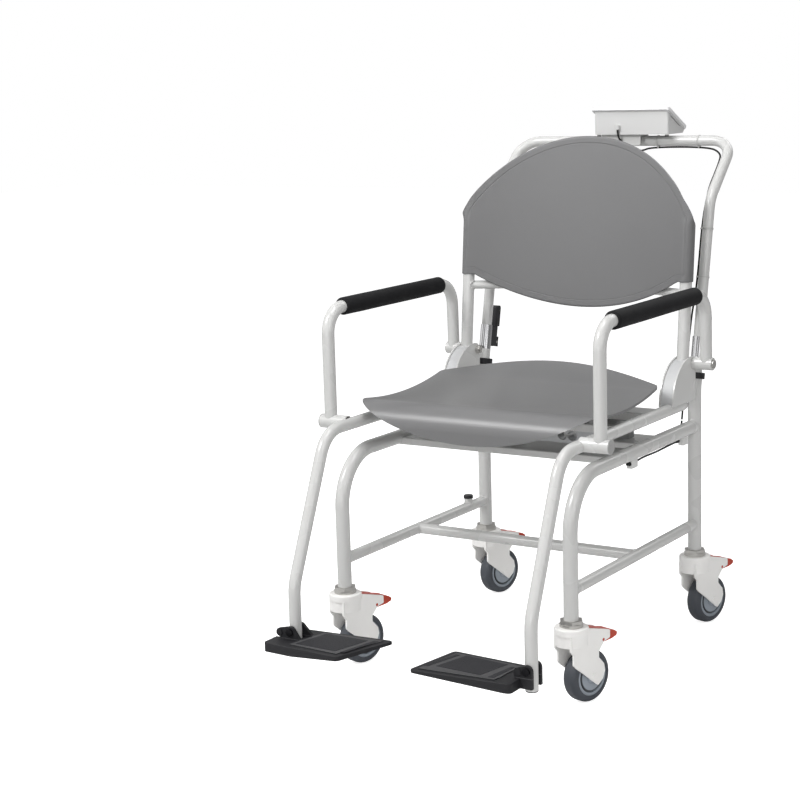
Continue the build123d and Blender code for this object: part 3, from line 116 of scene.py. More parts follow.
class ChairScaleColours(bpy.types.PropertyGroup):
    paint: colour("Frame paint", "Powder coat of every frame tube", (0.60, 0.60, 0.59))
    cover: colour("Bracket covers", "Moulded strips over the back brackets", (0.52, 0.525, 0.53))
    seat: colour("Seat", "Moulded seat shell", (0.170, 0.170, 0.172))
    sling: colour("Back sling", "Woven fabric of the back rest", (0.158, 0.158, 0.160))
    foam: colour("Arm pads", "Closed-cell foam sleeves", (0.010, 0.010, 0.011))
    plate: colour("Foot plates", "Moulded foot plates", (0.016, 0.016, 0.018))
    # The foot-plate ribs' colour is a painted highlight: a lighter grey on the plates' raised tops, where
    # light catches them
    tread: colour("Foot-plate ribs", "Raised ribs on top of the foot plates", (0.070, 0.070, 0.073))
    caster: colour("Caster forks", "Moulded caster housings", (0.93, 0.92, 0.90))
    tyre: colour("Tyres", "Tread of the wheels", (0.050, 0.056, 0.068))
    hub: colour("Hubs", "Wheel centres", (0.30, 0.335, 0.38))
    pedal: colour("Brake pedals", "Total-lock pedals", (0.50, 0.045, 0.015))
    case: colour("Indicator case", "Housing of the indicator", (0.60, 0.60, 0.595))
    face: colour("Indicator face", "Front plate of the indicator", (0.74, 0.74, 0.745))
    glass: colour("Display", "Liquid-crystal window", (0.39, 0.50, 0.435))
    ink: colour("Display ink", "Lit parts of the display", (0.006, 0.007, 0.006))
    border: colour("Display border", "Border and signs on the face", (0.10, 0.11, 0.12))
    lens: colour("Power lamp", "Lens of the power lamp", (0.02, 0.045, 0.03))
    key: colour("Keys", "Rubber keys", (0.105, 0.11, 0.125))
    key_mark: colour("Key marks", "Print on the keys", (0.72, 0.73, 0.74))
    dark: colour("Dark plastic", "Clamp blocks, levers, rings and caps", (0.018, 0.018, 0.020))
    stub_cap: colour("Stub caps", "Caps in the arm stubs", (0.36, 0.36, 0.355))
    plate_pin: colour("Foot-plate pins", "Blackened hinge pins", (0.02, 0.02, 0.022))
    cell: colour("Load cells", "Machined load cells", (0.34, 0.345, 0.35))
    chrome: colour("Clamp sleeves", "Bright plating", (0.52, 0.52, 0.53))
    collar: colour("Collars", "Zinc collars over the casters", (0.50, 0.49, 0.47))
    bolt: colour("Bolts", "Zinc pivot bolts", (0.52, 0.51, 0.49))
    sheath: colour("Cable sheath", "Outer sheath of the cables", (0.010, 0.010, 0.010))
    tie: colour("Cable ties", "Light nylon ties", (0.50, 0.50, 0.49))
    clip: colour("Cable clips", "White nylon clips", (0.72, 0.72, 0.71))


class ChairScaleSizes(bpy.types.PropertyGroup):
    floor: length("Floor", "Half the side of the floor", 12.0)
    lens: FloatProperty(
        name="Lens", description="Camera focal length in millimetres", min=1.0, default=83.745
    )
    cloth: length("Cloth", "Thickness of the back sling", 2.0 * MM)
    sag: length("Sling sag", "How far the sling's middle lies behind the posts", 60.0 * MM)
    hem: length("Hem", "Width of the hem round the sling", 14.5 * MM)
    bore: length("Pad bore", "Bore of the arm pads", 25.1 * MM)
    cable: length("Cable", "Diameter of both cables", 4.0 * MM)
    bead: length("Weld bead", "Radius of the weld beads", 1.7 * MM)
    mark: length("Marks", "Thickness of the printed marks", 0.08 * MM)


def add_node(tree, kind, inputs=(), **settings):
    """A new shader node with its settings; its inputs are values, or outputs that are linked to them."""
    made = tree.nodes.new("ShaderNode" + kind)
    for name, value in settings.items():
        setattr(made, name, value)
    for socket, value in dict(inputs).items():
        if isinstance(value, bpy.types.NodeSocket):
            tree.links.new(value, made.inputs[socket])
        else:
            made.inputs[socket].default_value = value
    return made


def maths(tree, operation, *values):
    """The result of a Math node on values or outputs."""
    return add_node(tree, "Math", enumerate(values), operation=operation).outputs["Value"]


def object_place(tree):
    """The Object coordinates."""
    return add_node(tree, "TexCoord").outputs["Object"]


def object_noise(tree, scale, detail=3.0):
    """A noise on Object coordinates."""
    texture = {"Vector": object_place(tree), "Scale": scale, "Detail": detail}
    return add_node(tree, "TexNoise", texture).outputs["Fac"]


def waves(tree, place, scale):
    """Two wave textures that cross at right angles."""
    inputs = {"Vector": place, "Scale": scale}
    return [add_node(tree, "TexWave", inputs, bands_direction=way).outputs["Fac"] for way in ("X", "Y")]


def shaded(base, share):
    """A share of a colour, as an opaque one."""
    return (*[min(1.0, part * share) for part in base], 1.0)


def add_ramp(tree, source, base, stops):
    """A colour ramp over a factor; each stop is a place and a share of the base colour."""
    ramp = add_node(tree, "ValToRGB", {"Fac": source})
    elements = ramp.color_ramp.elements
    for element, (place, share) in zip(elements, (stops[0], stops[-1])):
        element.position = place
        element.color = shaded(base, share)
    for place, share in stops[1:-1]:
        elements.new(place).color = shaded(base, share)
    return ramp.outputs["Color"]


def plain_material(name, base, roughness, metallic=0.0, gloss=0.5):
    """A new Principled material with its main sockets set, and its node tree's parts."""
    material = bpy.data.materials.new(name)
    material.use_nodes = True
    tree = material.node_tree
    shader = tree.nodes["Principled BSDF"]
    shader.inputs["Base Color"].default_value = (*base, 1.0)
    shader.inputs["Roughness"].default_value = roughness
    shader.inputs["Metallic"].default_value = metallic
    shader.inputs["Specular IOR Level"].default_value = gloss
    return material, tree, shader


def add_bump(tree, shader, height, strength, distance):
    """Drives the shader's normal from a height."""
    bump = add_node(tree, "Bump", {"Height": height, "Strength": strength, "Distance": distance})
    tree.links.new(bump.outputs["Normal"], shader.inputs["Normal"])


def tint(tree, shader, source, base, spread):
    """Varies the base colour a little with a factor, between a darker and a lighter tone."""
    tone = add_ramp(tree, source, base, ((0.0, 1.0 - spread), (1.0, 1.0 + spread)))
    tree.links.new(tone, shader.inputs["Base Color"])


def rough_variation(tree, shader, source, low, high):
    """Varies the roughness between two values."""
    spread = add_node(tree, "MapRange", {"Value": source, "To Min": low, "To Max": high})
    tree.links.new(spread.outputs["Result"], shader.inputs["Roughness"])


def banded_colour(material, axis, band, other):
    """Gives another colour where the distance along an axis lies in a band, in millimetres."""
    tree = material.node_tree
    base_colour = tree.nodes["Principled BSDF"].inputs["Base Color"]
    split = add_node(tree, "SeparateXYZ", {"Vector": object_place(tree)})
    far = maths(tree, "ABSOLUTE", split.outputs[axis])
    past_low = maths(tree, "GREATER_THAN", far, band[0] * MM)
    before_high = maths(tree, "LESS_THAN", far, band[1] * MM)
    inside = maths(tree, "MULTIPLY", past_low, before_high)
    sockets = {"Factor": inside, "A": base_colour.links[0].from_socket, "B": (*other, 1.0)}
    mix = add_node(tree, "Mix", sockets, data_type="RGBA")
    tree.links.new(mix.outputs["Result"], base_colour)


def powder_coat(base):
    """Light grey powder coat with a very fine orange peel."""
    material, tree, shader = plain_material("powder_coat", base, 0.26)
    shader.inputs["Coat Weight"].default_value = 0.3
    shader.inputs["Coat Roughness"].default_value = 0.12
    add_bump(tree, shader, object_noise(tree, 420.0, 2.0), 0.03, 0.1 * MM)
    cloud = object_noise(tree, 9.0, 2.0)
    tint(tree, shader, cloud, base, 0.012)
    rough_variation(tree, shader, cloud, 0.22, 0.32)
    return material


# Roughness, scale of the grain, its depth in millimetres, mottling and gloss of each moulding
MOULDINGS = {
    "cover_plastic": (0.42, 700.0, 0.2, 0.03, 0.5),
    "dark_plastic": (0.42, 900.0, 0.2, 0.12, 0.25),
    "plug_plastic": (0.42, 900.0, 0.2, 0.12, 0.3),
    "plate_plastic": (0.50, 800.0, 0.4, 0.10, 0.25),
    "caster_plastic": (0.36, 700.0, 0.2, 0.02, 0.5),
    "tyre_rubber": (0.50, 500.0, 0.2, 0.10, 0.5),
    "pedal_plastic": (0.36, 700.0, 0.2, 0.05, 0.5),
    "case_plastic": (0.42, 900.0, 0.2, 0.02, 0.5),
    "face_plastic": (0.38, 900.0, 0.1, 0.02, 0.5),
    "window_plastic": (0.22, 300.0, 0.0, 0.03, 0.5),
    "key_rubber": (0.50, 900.0, 0.2, 0.05, 0.5),
    "foot_rubber": (0.60, 900.0, 0.2, 0.10, 0.2),
    "display_ink": (0.35, 900.0, 0.0, 0.10, 0.5),
    "display_border": (0.40, 900.0, 0.0, 0.05, 0.5),
    "key_print": (0.50, 900.0, 0.0, 0.03, 0.5),
    "lamp_lens": (0.15, 900.0, 0.0, 0.10, 0.5),
    "cable_sheath": (0.50, 1200.0, 0.1, 0.15, 0.2),
    "tie_nylon": (0.38, 900.0, 0.1, 0.05, 0.5),
    "clip_nylon": (0.42, 900.0, 0.1, 0.04, 0.5),
}


def moulded_plastic(name, base):
    """A moulding from the table, with a fine grain and a faint mottling."""
    roughness, grains, depth, spread, gloss = MOULDINGS[name]
    material, tree, shader = plain_material(name, base, roughness, gloss=gloss)
    add_bump(tree, shader, object_noise(tree, grains, 2.0), 0.25, depth * MM)
    cloud = object_noise(tree, 14.0)
    tint(tree, shader, cloud, base, spread)
    rough_variation(tree, shader, cloud, roughness - 0.05, roughness + 0.06)
    return material


def dotted_shell(base):
    """Satin seat moulding with an even field of tiny raised dots."""
    material, tree, shader = plain_material("seat_dots", base, 0.36, gloss=0.4)
    dots = add_node(tree, "TexVoronoi", {"Vector": object_place(tree), "Scale": 520.0, "Randomness": 0.35})
    add_bump(tree, shader, dots.outputs["Distance"], 0.35, 0.3 * MM)
    cloud = object_noise(tree, 11.0)
    tint(tree, shader, cloud, base, 0.02)
    rough_variation(tree, shader, cloud, 0.27, 0.35)
    return material


def closed_cell_foam(base):
    """Black foam skin with fine pores."""
    material, tree, shader = plain_material("closed_cell_foam", base, 0.72, gloss=0.15)
    add_bump(tree, shader, object_noise(tree, 900.0), 0.5, 0.4 * MM)
    tint(tree, shader, object_noise(tree, 40.0), base, 0.25)
    return material


def metal_finish(name, base, roughness, spread):
    """A plated or machined metal."""
    material, tree, shader = plain_material(name, base, roughness, metallic=1.0)
    cloud = object_noise(tree, 60.0, 4.0)
    tint(tree, shader, cloud, base, 0.06)
    rough_variation(tree, shader, cloud, roughness - spread, roughness + spread)
    return material


# The hub's colour from the axle to the rim: shares of the ramp's radius, which is in millimetres, and
# shares of the base colour there; the dark band near 0.7 is painted shade for a turned groove, and the dip
# near 0.33 is painted shade at the boss's edge
HUB_RAMP_RADIUS = 40.0
HUB_SHARES_WITH_GROOVE_SHADE = (
    (0.0, 1.12), (0.30, 1.12), (0.33, 0.80), (0.36, 1.0), (0.655, 1.0), (0.675, 0.16), (0.76, 0.16),
    (0.785, 1.06), (0.93, 0.75),
)


def wheel_centre(base, centre, axis):
    """Hub plastic coloured in rings by the distance from the wheel's axle, with painted shade as dark rings
    for a turned groove and for the boss's edge.
    """
    material, tree, shader = plain_material("hub_plastic", base, 0.38)
    arm = add_node(tree, "VectorMath", {0: object_place(tree), 1: centre}, operation="SUBTRACT")
    across = add_node(tree, "VectorMath", {0: arm.outputs["Vector"], 1: axis}, operation="CROSS_PRODUCT")
    radius = add_node(tree, "VectorMath", {0: across.outputs["Vector"]}, operation="LENGTH")
    share = add_node(tree, "MapRange", {"Value": radius.outputs["Value"], "From Max": HUB_RAMP_RADIUS * MM})
    # The ramp paints the shade of the groove and of the boss's edge as dark rings
    rings_with_groove_shade = add_ramp(tree, share.outputs["Result"], base, HUB_SHARES_WITH_GROOVE_SHADE)
    tree.links.new(rings_with_groove_shade, shader.inputs["Base Color"])
    add_bump(tree, shader, object_noise(tree, 700.0, 2.0), 0.2, 0.2 * MM)
    return material


# The cloth's height near its edge: shares of twice the hem's width, and of the full height there
HEM_SHARES = ((0.0, 1.0), (0.44, 1.0), (0.475, 0.0), (0.50, 0.0), (0.525, 0.45), (1.0, 0.45))


def woven_sling(base, hem):
    """Plain weave on the cloth's own map, with a pressed line where the hem is sewn."""
    material, tree, shader = plain_material("woven_sling", base, 0.52, gloss=0.4)
    cloth = add_node(tree, "UVMap", uv_map="cloth").outputs["UV"]
    weave = maths(tree, "MULTIPLY", maths(tree, "MULTIPLY", *waves(tree, cloth, 300.0)), 0.12)
    edge = add_node(tree, "Attribute", attribute_name="edge").outputs["Fac"]
    reach = add_node(tree, "MapRange", {"Value": edge, "From Max": 2.0 * hem})
    line = add_ramp(tree, reach.outputs["Result"], (1.0, 1.0, 1.0), HEM_SHARES)
    add_bump(tree, shader, maths(tree, "ADD", line, weave), 0.9, 1.0 * MM)
    tint(tree, shader, object_noise(tree, 7.0, 2.0), base, 0.02)
    return material


def grip_rubber_crest_highlight(base):
    """Ribbed black rubber of the foot-plate inserts, with the rib crests painted lighter as a highlight."""
    material, tree, shader = plain_material("grip_rubber_crest_highlight", base, 0.62, gloss=0.2)
    rib_height_and_highlight = maths(tree, "MAXIMUM", *waves(tree, object_place(tree), 110.0))
    add_bump(tree, shader, rib_height_and_highlight, 0.6, 0.8 * MM)
    # Painted highlight: the ribs' own height pattern makes their crests lighter
    tint(tree, shader, rib_height_and_highlight, [part * 1.5 for part in base], 0.30)
    return material


def give(material, *names):
    """Puts one material on CAD nodes."""
    for name in names:
        mesh = nodes[name].data
        mesh.materials.clear()
        mesh.materials.append(material)


def piece(name, mesh, material, body, smooth=True):
    """A finished object from a bmesh, at the origin, riding on a body."""
    data = bpy.data.meshes.new(name)
    mesh.to_mesh(data)
    mesh.free()
    data.materials.append(material)
    if smooth:
        data.shade_smooth()
    made = bpy.data.objects.new(name, data)
    bpy.context.scene.collection.objects.link(made)
    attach(made, body)
    return made


def add_plates(mesh, outlines, low, high, place):
    """Adds thin closed plates: outlines in millimetres, lifted from one height to another, then placed."""
    for outline in outlines:
        verts = [mesh.verts.new((x * MM, y * MM, low * MM)) for x, y in outline]
        base = mesh.faces.new(verts)
        lifted = bmesh.ops.extrude_face_region(mesh, geom=[base], use_keep_orig=True)
        top = [part for part in lifted["geom"] if isinstance(part, bmesh.types.BMVert)]
        bmesh.ops.translate(mesh, verts=top, vec=(0.0, 0.0, (high - low) * MM))
        faces = {face for vert in verts + top for face in vert.link_faces}
        bmesh.ops.recalc_face_normals(mesh, faces=list(faces))
        bmesh.ops.transform(mesh, matrix=place, verts=verts + top)


def disc_outline(x, y, radius, count=24):
    """Points round a circle."""
    turns = [2 * math.pi * step / count for step in range(count)]
    return [(x + radius * math.cos(turn), y + radius * math.sin(turn)) for turn in turns]


def bar_outline(x, y, wide, high):
    """Corners of an upright bar about its middle."""
    corners = ((-1, -1), (1, -1), (1, 1), (-1, 1))
    return [(x + across * wide / 2, y + up * high / 2) for across, up in corners]


def arrow_outline(x, y, reach, turn):
    """Corners of a small arrowhead that points along a turn."""
    turns = [turn + math.radians(step) for step in (0.0, 120.0, 240.0)]
    return [(x + reach * math.cos(each), y + reach * math.sin(each)) for each in turns]


PAINTED = (
    "base_side_tubes", "rear_posts", "lower_side_rails", "lower_cross_tube", "load_trays", "seat_channels",
    "seat_tubes", "arm_stubs", "back_posts", "back_brackets", "back_cross_tube", "arm_tube_right",
    "arm_tube_left", "handle_tube", "indicator_saddle",
)
BEAD_SIDES = 8
BEAD_STEPS = 96
BEAD_RIPPLES = 32
BEAD_RIPPLE_SHARE = 0.14
SAME_SIZE_GAP = 0.1


def weld_bead(mesh, place, along, big_axis, small, big, bead):
    """Adds one rippled weld bead where a small tube meets a bigger one; all lengths are radii in metres."""
    along = Vector(along).normalized()
    big_axis = Vector(big_axis).normalized()
    side = along.cross(big_axis)
    before = set(mesh.verts)
    ring = bmesh.ops.create_circle(
        mesh, segments=BEAD_SIDES, radius=bead,
        matrix=Matrix.Translation((small, 0, 0)) @ Matrix.Rotation(math.pi / 2, 4, "X"),
    )
    edges = {edge for vert in ring["verts"] for edge in vert.link_edges}
    bmesh.ops.spin(
        mesh, geom=ring["verts"] + list(edges), cent=(0, 0, 0), axis=(0, 0, 1), dvec=(0, 0, 0),
        angle=2 * math.pi, steps=BEAD_STEPS, use_merge=True,
    )
    for vert in [vert for vert in mesh.verts if vert not in before]:
        turn = math.atan2(vert.co.y, vert.co.x)
        ripple = 1.0 + BEAD_RIPPLE_SHARE * math.sin(BEAD_RIPPLES * turn)
        out = small + (math.hypot(vert.co.x, vert.co.y) - small) * ripple
        reach = math.sqrt(max(big * big - (small * math.sin(turn)) ** 2, 0.0)) + vert.co.z * ripple
        vert.co = Vector(place) + along * reach + (big_axis * math.cos(turn) + side * math.sin(turn)) * out


def tube_joints():
    """Where the frame's tubes are welded: place, way of the small tube, way of the big one, radii."""
    base, rail, small = BASE_TUBE_RADIUS * MM, LOWER_RAIL_RADIUS * MM, SMALL_TUBE_RADIUS * MM
    cross_low, cross_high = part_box("lower_cross_tube")
    cross_radius = (cross_high[2] - cross_low[2]) / 2
    cross = middle("lower_cross_tube")
    back = post_axis(CROSS_TUBE_Z * MM)
    lean = (0.0, math.sin(POST_LEAN), math.cos(POST_LEAN))
    joints = [(from_legs(-LEG_X, RAIL_STUB_BACK, LOWER_RAIL_Z), (0, 0, 1), (0, 1, 0), small, rail)]
    for side in SIDES.values():
        x = side * LEG_X
        joints += [
            (from_legs(x, 0.0, LOWER_RAIL_Z), (0, 1, 0), (0, 0, 1), rail, base),
            (from_legs(x, WHEELBASE, LOWER_RAIL_Z), (0, -1, 0), (0, 0, 1), rail, base),
            (from_legs(x, WHEELBASE, TOP_RAIL_Z), (0, -1, 0), (0, 0, 1), base - SAME_SIZE_GAP * MM, base),
            ((x * MM, cross.y, cross.z), (-side, 0, 0), (0, 1, 0), cross_radius, rail),
            ((side * POST_X * MM, back.y, back.z), (-side, 0, 0), lean, small, POST_RADIUS * MM),
        ]
    return joints


class CHAIRSCALE_OT_frame(bpy.types.Operator):
    """Powder-coats the frame tubes and plates and lays the weld beads at their joints"""

    bl_idname = "chairscale.frame"
    bl_label = "Frame paint"

    def execute(self, context):
        colours = context.scene.chair_colours
        paint = powder_coat(colours.paint)
        give(paint, *PAINTED)
        give(metal_finish("cell_alloy", colours.cell, 0.36, 0.04), "load_cells")
        give(moulded_plastic("cover_plastic", colours.cover), "bracket_covers")
        beads = bmesh.new()
        for place, along, big_axis, small, big in tube_joints():
            weld_bead(beads, place, along, big_axis, small, big, context.scene.chair_sizes.bead)
        bmesh.ops.recalc_face_normals(beads, faces=beads.faces[:])
        piece("weld_beads", beads, paint, "frame")
        return {"FINISHED"}


# Where the arm stubs' caps lie outwards, and the foot plates' pins above the floor, in millimetres
STUB_CAP_BAND = (309.0, 400.0)
PLATE_PIN_BAND = (0.0, 150.0)


class CHAIRSCALE_OT_fittings(bpy.types.Operator):
    """Finishes the clamps, rings, bolts, pins and collars"""

    bl_idname = "chairscale.fittings"
    bl_label = "Fittings"

    def execute(self, context):
        colours = context.scene.chair_colours
        dark = moulded_plastic("dark_plastic", colours.dark)
        give(dark, "clamp_blocks", "clamp_lever_right", "clamp_lever_left", "post_rings", "seat_standoffs")
        plugs = moulded_plastic("plug_plastic", colours.dark)
        banded_colour(plugs, "X", STUB_CAP_BAND, colours.stub_cap)
        give(plugs, "tube_plugs")
        give(metal_finish("bright_chrome", colours.chrome, 0.12, 0.03), "clamp_sleeves")
        give(metal_finish("zinc_collar", colours.collar, 0.30, 0.08), "caster_collars")
        pins = metal_finish("zinc_pins", colours.bolt, 0.30, 0.08)
        banded_colour(pins, "Z", PLATE_PIN_BAND, colours.plate_pin)
        give(pins, "pivot_pins")
        return {"FINISHED"}


class CHAIRSCALE_OT_seat(bpy.types.Operator):
    """Finishes the seat shell"""

    bl_idname = "chairscale.seat"
    bl_label = "Seat"

    def execute(self, context):
        give(dotted_shell(context.scene.chair_colours.seat), "seat_shell")
        return {"FINISHED"}


# The sling's sizes and heights in millimetres, and the counts of its mesh
SLEEVE_RADIUS = 14.8
SLING_TOP_Z = 1020.0
SLING_RISE = 159.0
SLING_BOTTOM_Z = 664.0
SLING_BELLY_RADIUS = 450.0
SLING_SIDE_LOW_Z = 731.0
SLING_SHOULDER = 20.0
PRESS_START_Z = 842.0
PRESS_HEIGHT = 22.0
FLAP_SEAM_X = 226.0
FLAP_END_X = 214.0
CLOTH_RIPPLE = 0.5
RIPPLE_REACH_SHARE = 0.9
BELLY_MARGIN = 0.5
FRONT_STEPS = 56
WRAP_STEPS = 34
RUN_STEPS = 6
FLAP_STEPS = 3
SLING_ROWS = 76


def sling_section(sag, cloth):
    """Half of the sling's cross-section, middle to flap: side, depth, and depth where it is pressed flat."""
    post, sleeve = POST_X * MM, SLEEVE_RADIUS * MM
    deep = sag - sleeve
    radius = (post * post + deep * deep - sleeve * sleeve) / (2 * (deep + sleeve))
    centre = deep - radius
    touch = post * (radius / (radius + sleeve))
    points = []
    for step in range(FRONT_STEPS):
        x = touch * step / FRONT_STEPS
        y = centre + math.sqrt(radius * radius - x * x)
        points.append((x, y, y))
    behind = (radius + 2 * cloth) ** 2
    start = math.atan2(centre, -post)
    flap_x = FLAP_SEAM_X * MM
    flap_y = centre + math.sqrt(behind - flap_x * flap_x)
    far = Vector((flap_x - post, flap_y))
    end = math.atan2(far.y, far.x) - math.acos(sleeve / far.length)
    for step in range(WRAP_STEPS + 1):
        turn = start + (end - start) * step / WRAP_STEPS
        y = sleeve * math.sin(turn)
        flat = -sleeve + cloth + (y + sleeve) * cloth / sleeve
        points.append((post + sleeve * math.cos(turn), y, flat))
    last, seam = points[-1], (flap_x, flap_y, flap_y)
    for step in range(1, RUN_STEPS):
        along = step / RUN_STEPS
        points.append(tuple(one + (other - one) * along for one, other in zip(last, seam)))
    for step in range(FLAP_STEPS + 1):
        x = flap_x + (FLAP_END_X * MM - flap_x) * step / FLAP_STEPS
        y = centre + math.sqrt(behind - x * x)
        points.append((x, y, y))
    return points


def sling_edges(x):
    """Heights of the sling's edges at a distance from the middle, then the arcs' centres and radii."""
    half = (POST_X + SLEEVE_RADIUS) * MM
    rise, belly = SLING_RISE * MM, SLING_BELLY_RADIUS * MM
    radius = (half * half + rise * rise) / (2 * rise)
    centre = SLING_TOP_Z * MM - radius
    x = min(abs(x), half)
    high = centre + math.sqrt(radius * radius - x * x)
    corner = SLING_SHOULDER * MM
    round_x = half - corner
    if x > round_x * radius / (radius - corner):
        round_z = centre + math.sqrt((radius - corner) ** 2 - round_x * round_x)
        high = round_z + math.sqrt(max(corner * corner - (x - round_x) ** 2, 0.0))
    arc = SLING_BOTTOM_Z * MM + belly
    low = SLING_SIDE_LOW_Z * MM
    if x < belly * math.sin(math.acos((arc - low) / belly)):
        low = arc - math.sqrt(belly * belly - x * x)
    return low, high, centre, radius, arc, belly


def sling_mesh(sag, cloth):
    """The sling as one sheet: across the front, round each post and sewn down behind it."""
    half_section = sling_section(sag, cloth)
    section = [(-x, y, flat) for x, y, flat in reversed(half_section[1:])] + half_section
    reach = [0.0]
    for before, after in zip(section, section[1:]):
        reach.append(reach[-1] + math.hypot(after[0] - before[0], after[1] - before[1]))
    columns = len(section) - 1
    mesh = bmesh.new()
    map_layer = mesh.loops.layers.uv.new("cloth")
    edge_layer = mesh.verts.layers.float.new("edge")
    bmesh.ops.create_grid(mesh, x_segments=columns, y_segments=SLING_ROWS, size=0.5)
    base = post_axis(CROSS_TUBE_Z * MM)
    up = Vector((0.0, math.sin(POST_LEAN), math.cos(POST_LEAN)))
    back = Vector((0.0, math.cos(POST_LEAN), -math.sin(POST_LEAN)))
    side_half = (POST_X + SLEEVE_RADIUS) * MM
    side_low = (SLING_SIDE_LOW_Z - BELLY_MARGIN) * MM
    flat_places = {}
    for vert in mesh.verts:
        column = round((vert.co.x + 0.5) * columns)
        x, y, flat = section[column]
        low, high, top_centre, top_radius, arc, belly = sling_edges(x)
        z = low + (high - low) * (vert.co.y + 0.5)
        press = min(max((z - PRESS_START_Z * MM) / (PRESS_HEIGHT * MM), 0.0), 1.0)
        y += (flat - y) * (press * press * (3 - 2 * press))
        if abs(x) < RIPPLE_REACH_SHARE * POST_X * MM and y > 0.0:
            y += CLOTH_RIPPLE * MM * noise.noise(Vector((x * 9.0, z * 14.0, 3.7)))
        spot = base + Vector((x, 0.0, 0.0)) + back * y
        spot += up * ((z - spot.z) / up.z)
        bottom_gap = belly - math.hypot(x, arc - z) if low < side_low else z - low
        top_gap = top_radius - math.hypot(x, z - top_centre)
        vert[edge_layer] = max(min(top_gap, bottom_gap, side_half - abs(x)), 0.0)
        flat_places[vert] = (reach[column], z)
        vert.co = spot
    for face in mesh.faces:
        for loop in face.loops:
            loop[map_layer].uv = flat_places[loop.vert]
    bmesh.ops.recalc_face_normals(mesh, faces=mesh.faces[:])
    front = min(mesh.faces, key=lambda face: (face.calc_center_median() - base).length)
    if front.normal.y > 0:
        bmesh.ops.reverse_faces(mesh, faces=mesh.faces[:])
    return mesh, reach[-1]


class CHAIRSCALE_OT_back(bpy.types.Operator):
    """Stretches the woven sling round the back posts, with its hem and sewn flaps"""

    bl_idname = "chairscale.back"
    bl_label = "Back sling"

    def execute(self, context):
        sizes = context.scene.chair_sizes
        mesh, wide = sling_mesh(sizes.sag, sizes.cloth)
        surface = sum(face.calc_area() for face in mesh.faces)
        cloth = woven_sling(context.scene.chair_colours.sling, sizes.hem)
        sling = piece("back_sling", mesh, cloth, "frame")
        wall = sling.modifiers.new("cloth", "SOLIDIFY")
        wall.thickness = sizes.cloth
        wall.offset = -1.0
        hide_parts("back_panel")
        return {"FINISHED"}


PAD_ROUND_SHARE = 0.92
PAD_ROUND_STEPS = 7
PAD_LENGTH_CUTS = 60
PAD_TURN_STEPS = 64
PAD_SWELL_SHARE = 0.012
PAD_SWELLS = 22.0
PAD_BORE_MARGIN = 1.05


def foam_pad(side, bore):
    """A moulded foam sleeve on the arm tube, with rounded ends and a faint swell."""
    low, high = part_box("arm_pad_" + side)
    outer = (high[2] - low[2]) / 2
    half = (high[1] - low[1]) / 2
    mesh = bmesh.new()
    outline = ((-half, bore), (-half, outer), (half, outer), (half, bore))
    corners = [mesh.verts.new((0.0, y, radius)) for y, radius in outline]
    for spot in range(4):
        mesh.edges.new((corners[spot], corners[(spot + 1) % 4]))
    bmesh.ops.bevel(
        mesh, geom=corners[1:3], offset=PAD_ROUND_SHARE * (outer - bore), segments=PAD_ROUND_STEPS,
        profile=0.5, affect="VERTICES", material=-1,
    )
    long_edges = [edge for edge in mesh.edges if edge.calc_length() > half]
    bmesh.ops.subdivide_edges(mesh, edges=long_edges, cuts=PAD_LENGTH_CUTS)
    bmesh.ops.spin(
        mesh, geom=mesh.verts[:] + mesh.edges[:], cent=(0, 0, 0), axis=(0, 1, 0), dvec=(0, 0, 0),
        angle=2 * math.pi, steps=PAD_TURN_STEPS, use_merge=True,
    )
    bmesh.ops.remove_doubles(mesh, verts=mesh.verts[:], dist=1e-6)
    for vert in mesh.verts:
        if math.hypot(vert.co.x, vert.co.z) > bore * PAD_BORE_MARGIN:
            bump = noise.noise(vert.co * PAD_SWELLS + Vector((0.0, 0.0, SIDES[side])))
            swell = 1.0 - PAD_SWELL_SHARE * (1.0 + bump)
            vert.co.x *= swell
            vert.co.z *= swell
    bmesh.ops.translate(mesh, verts=mesh.verts[:], vec=middle("arm_pad_" + side))
    bmesh.ops.recalc_face_normals(mesh, faces=mesh.faces[:])
    return mesh


class CHAIRSCALE_OT_arm_pads(bpy.types.Operator):
    """Slides a foam pad on each arm tube"""

    bl_idname = "chairscale.arm_pads"
    bl_label = "Arm pads"

    def execute(self, context):
        foam = closed_cell_foam(context.scene.chair_colours.foam)
        for side in SIDES:
            mesh = foam_pad(side, context.scene.chair_sizes.bore / 2)
            pad = piece("foam_pad_" + side, mesh, foam, "arm_" + side)
            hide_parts("arm_pad_" + side)
        return {"FINISHED"}


# Corners of the foot plates' raised decks and rubber inserts, in millimetres from the front legs
TREAD_DECKS = {
    "right": [((207, -212), (214, -124), (72, -112), (54, -220))],
    "left": [((-238, -211), (-126, -219), (-90, -113), (-220, -120))],
}
TREAD_INSERTS = {
    "right": [
        ((173, -203), (188, -129), (96, -119), (77, -196)), ((64, -203), (84, -121), (75, -121), (55, -203)),
        ((190, -206), (200, -138), (208, -138), (202, -206)),
    ],
    "left": [
        ((-229, -204), (-136, -208), (-116, -126), (-211, -125)),
        ((-124, -209), (-115, -207), (-95, -120), (-105, -121)),
    ],
}
DECK_LEVELS = (104.8, 106.6)
INSERT_LEVELS = (106.5, 107.15)
# Heights in millimetres in which the foot plates' raised tops are painted lighter, as a painted highlight
RIB_HIGHLIGHT_BAND = (105.8, 107.2)
TREAD_ROUND = 0.25


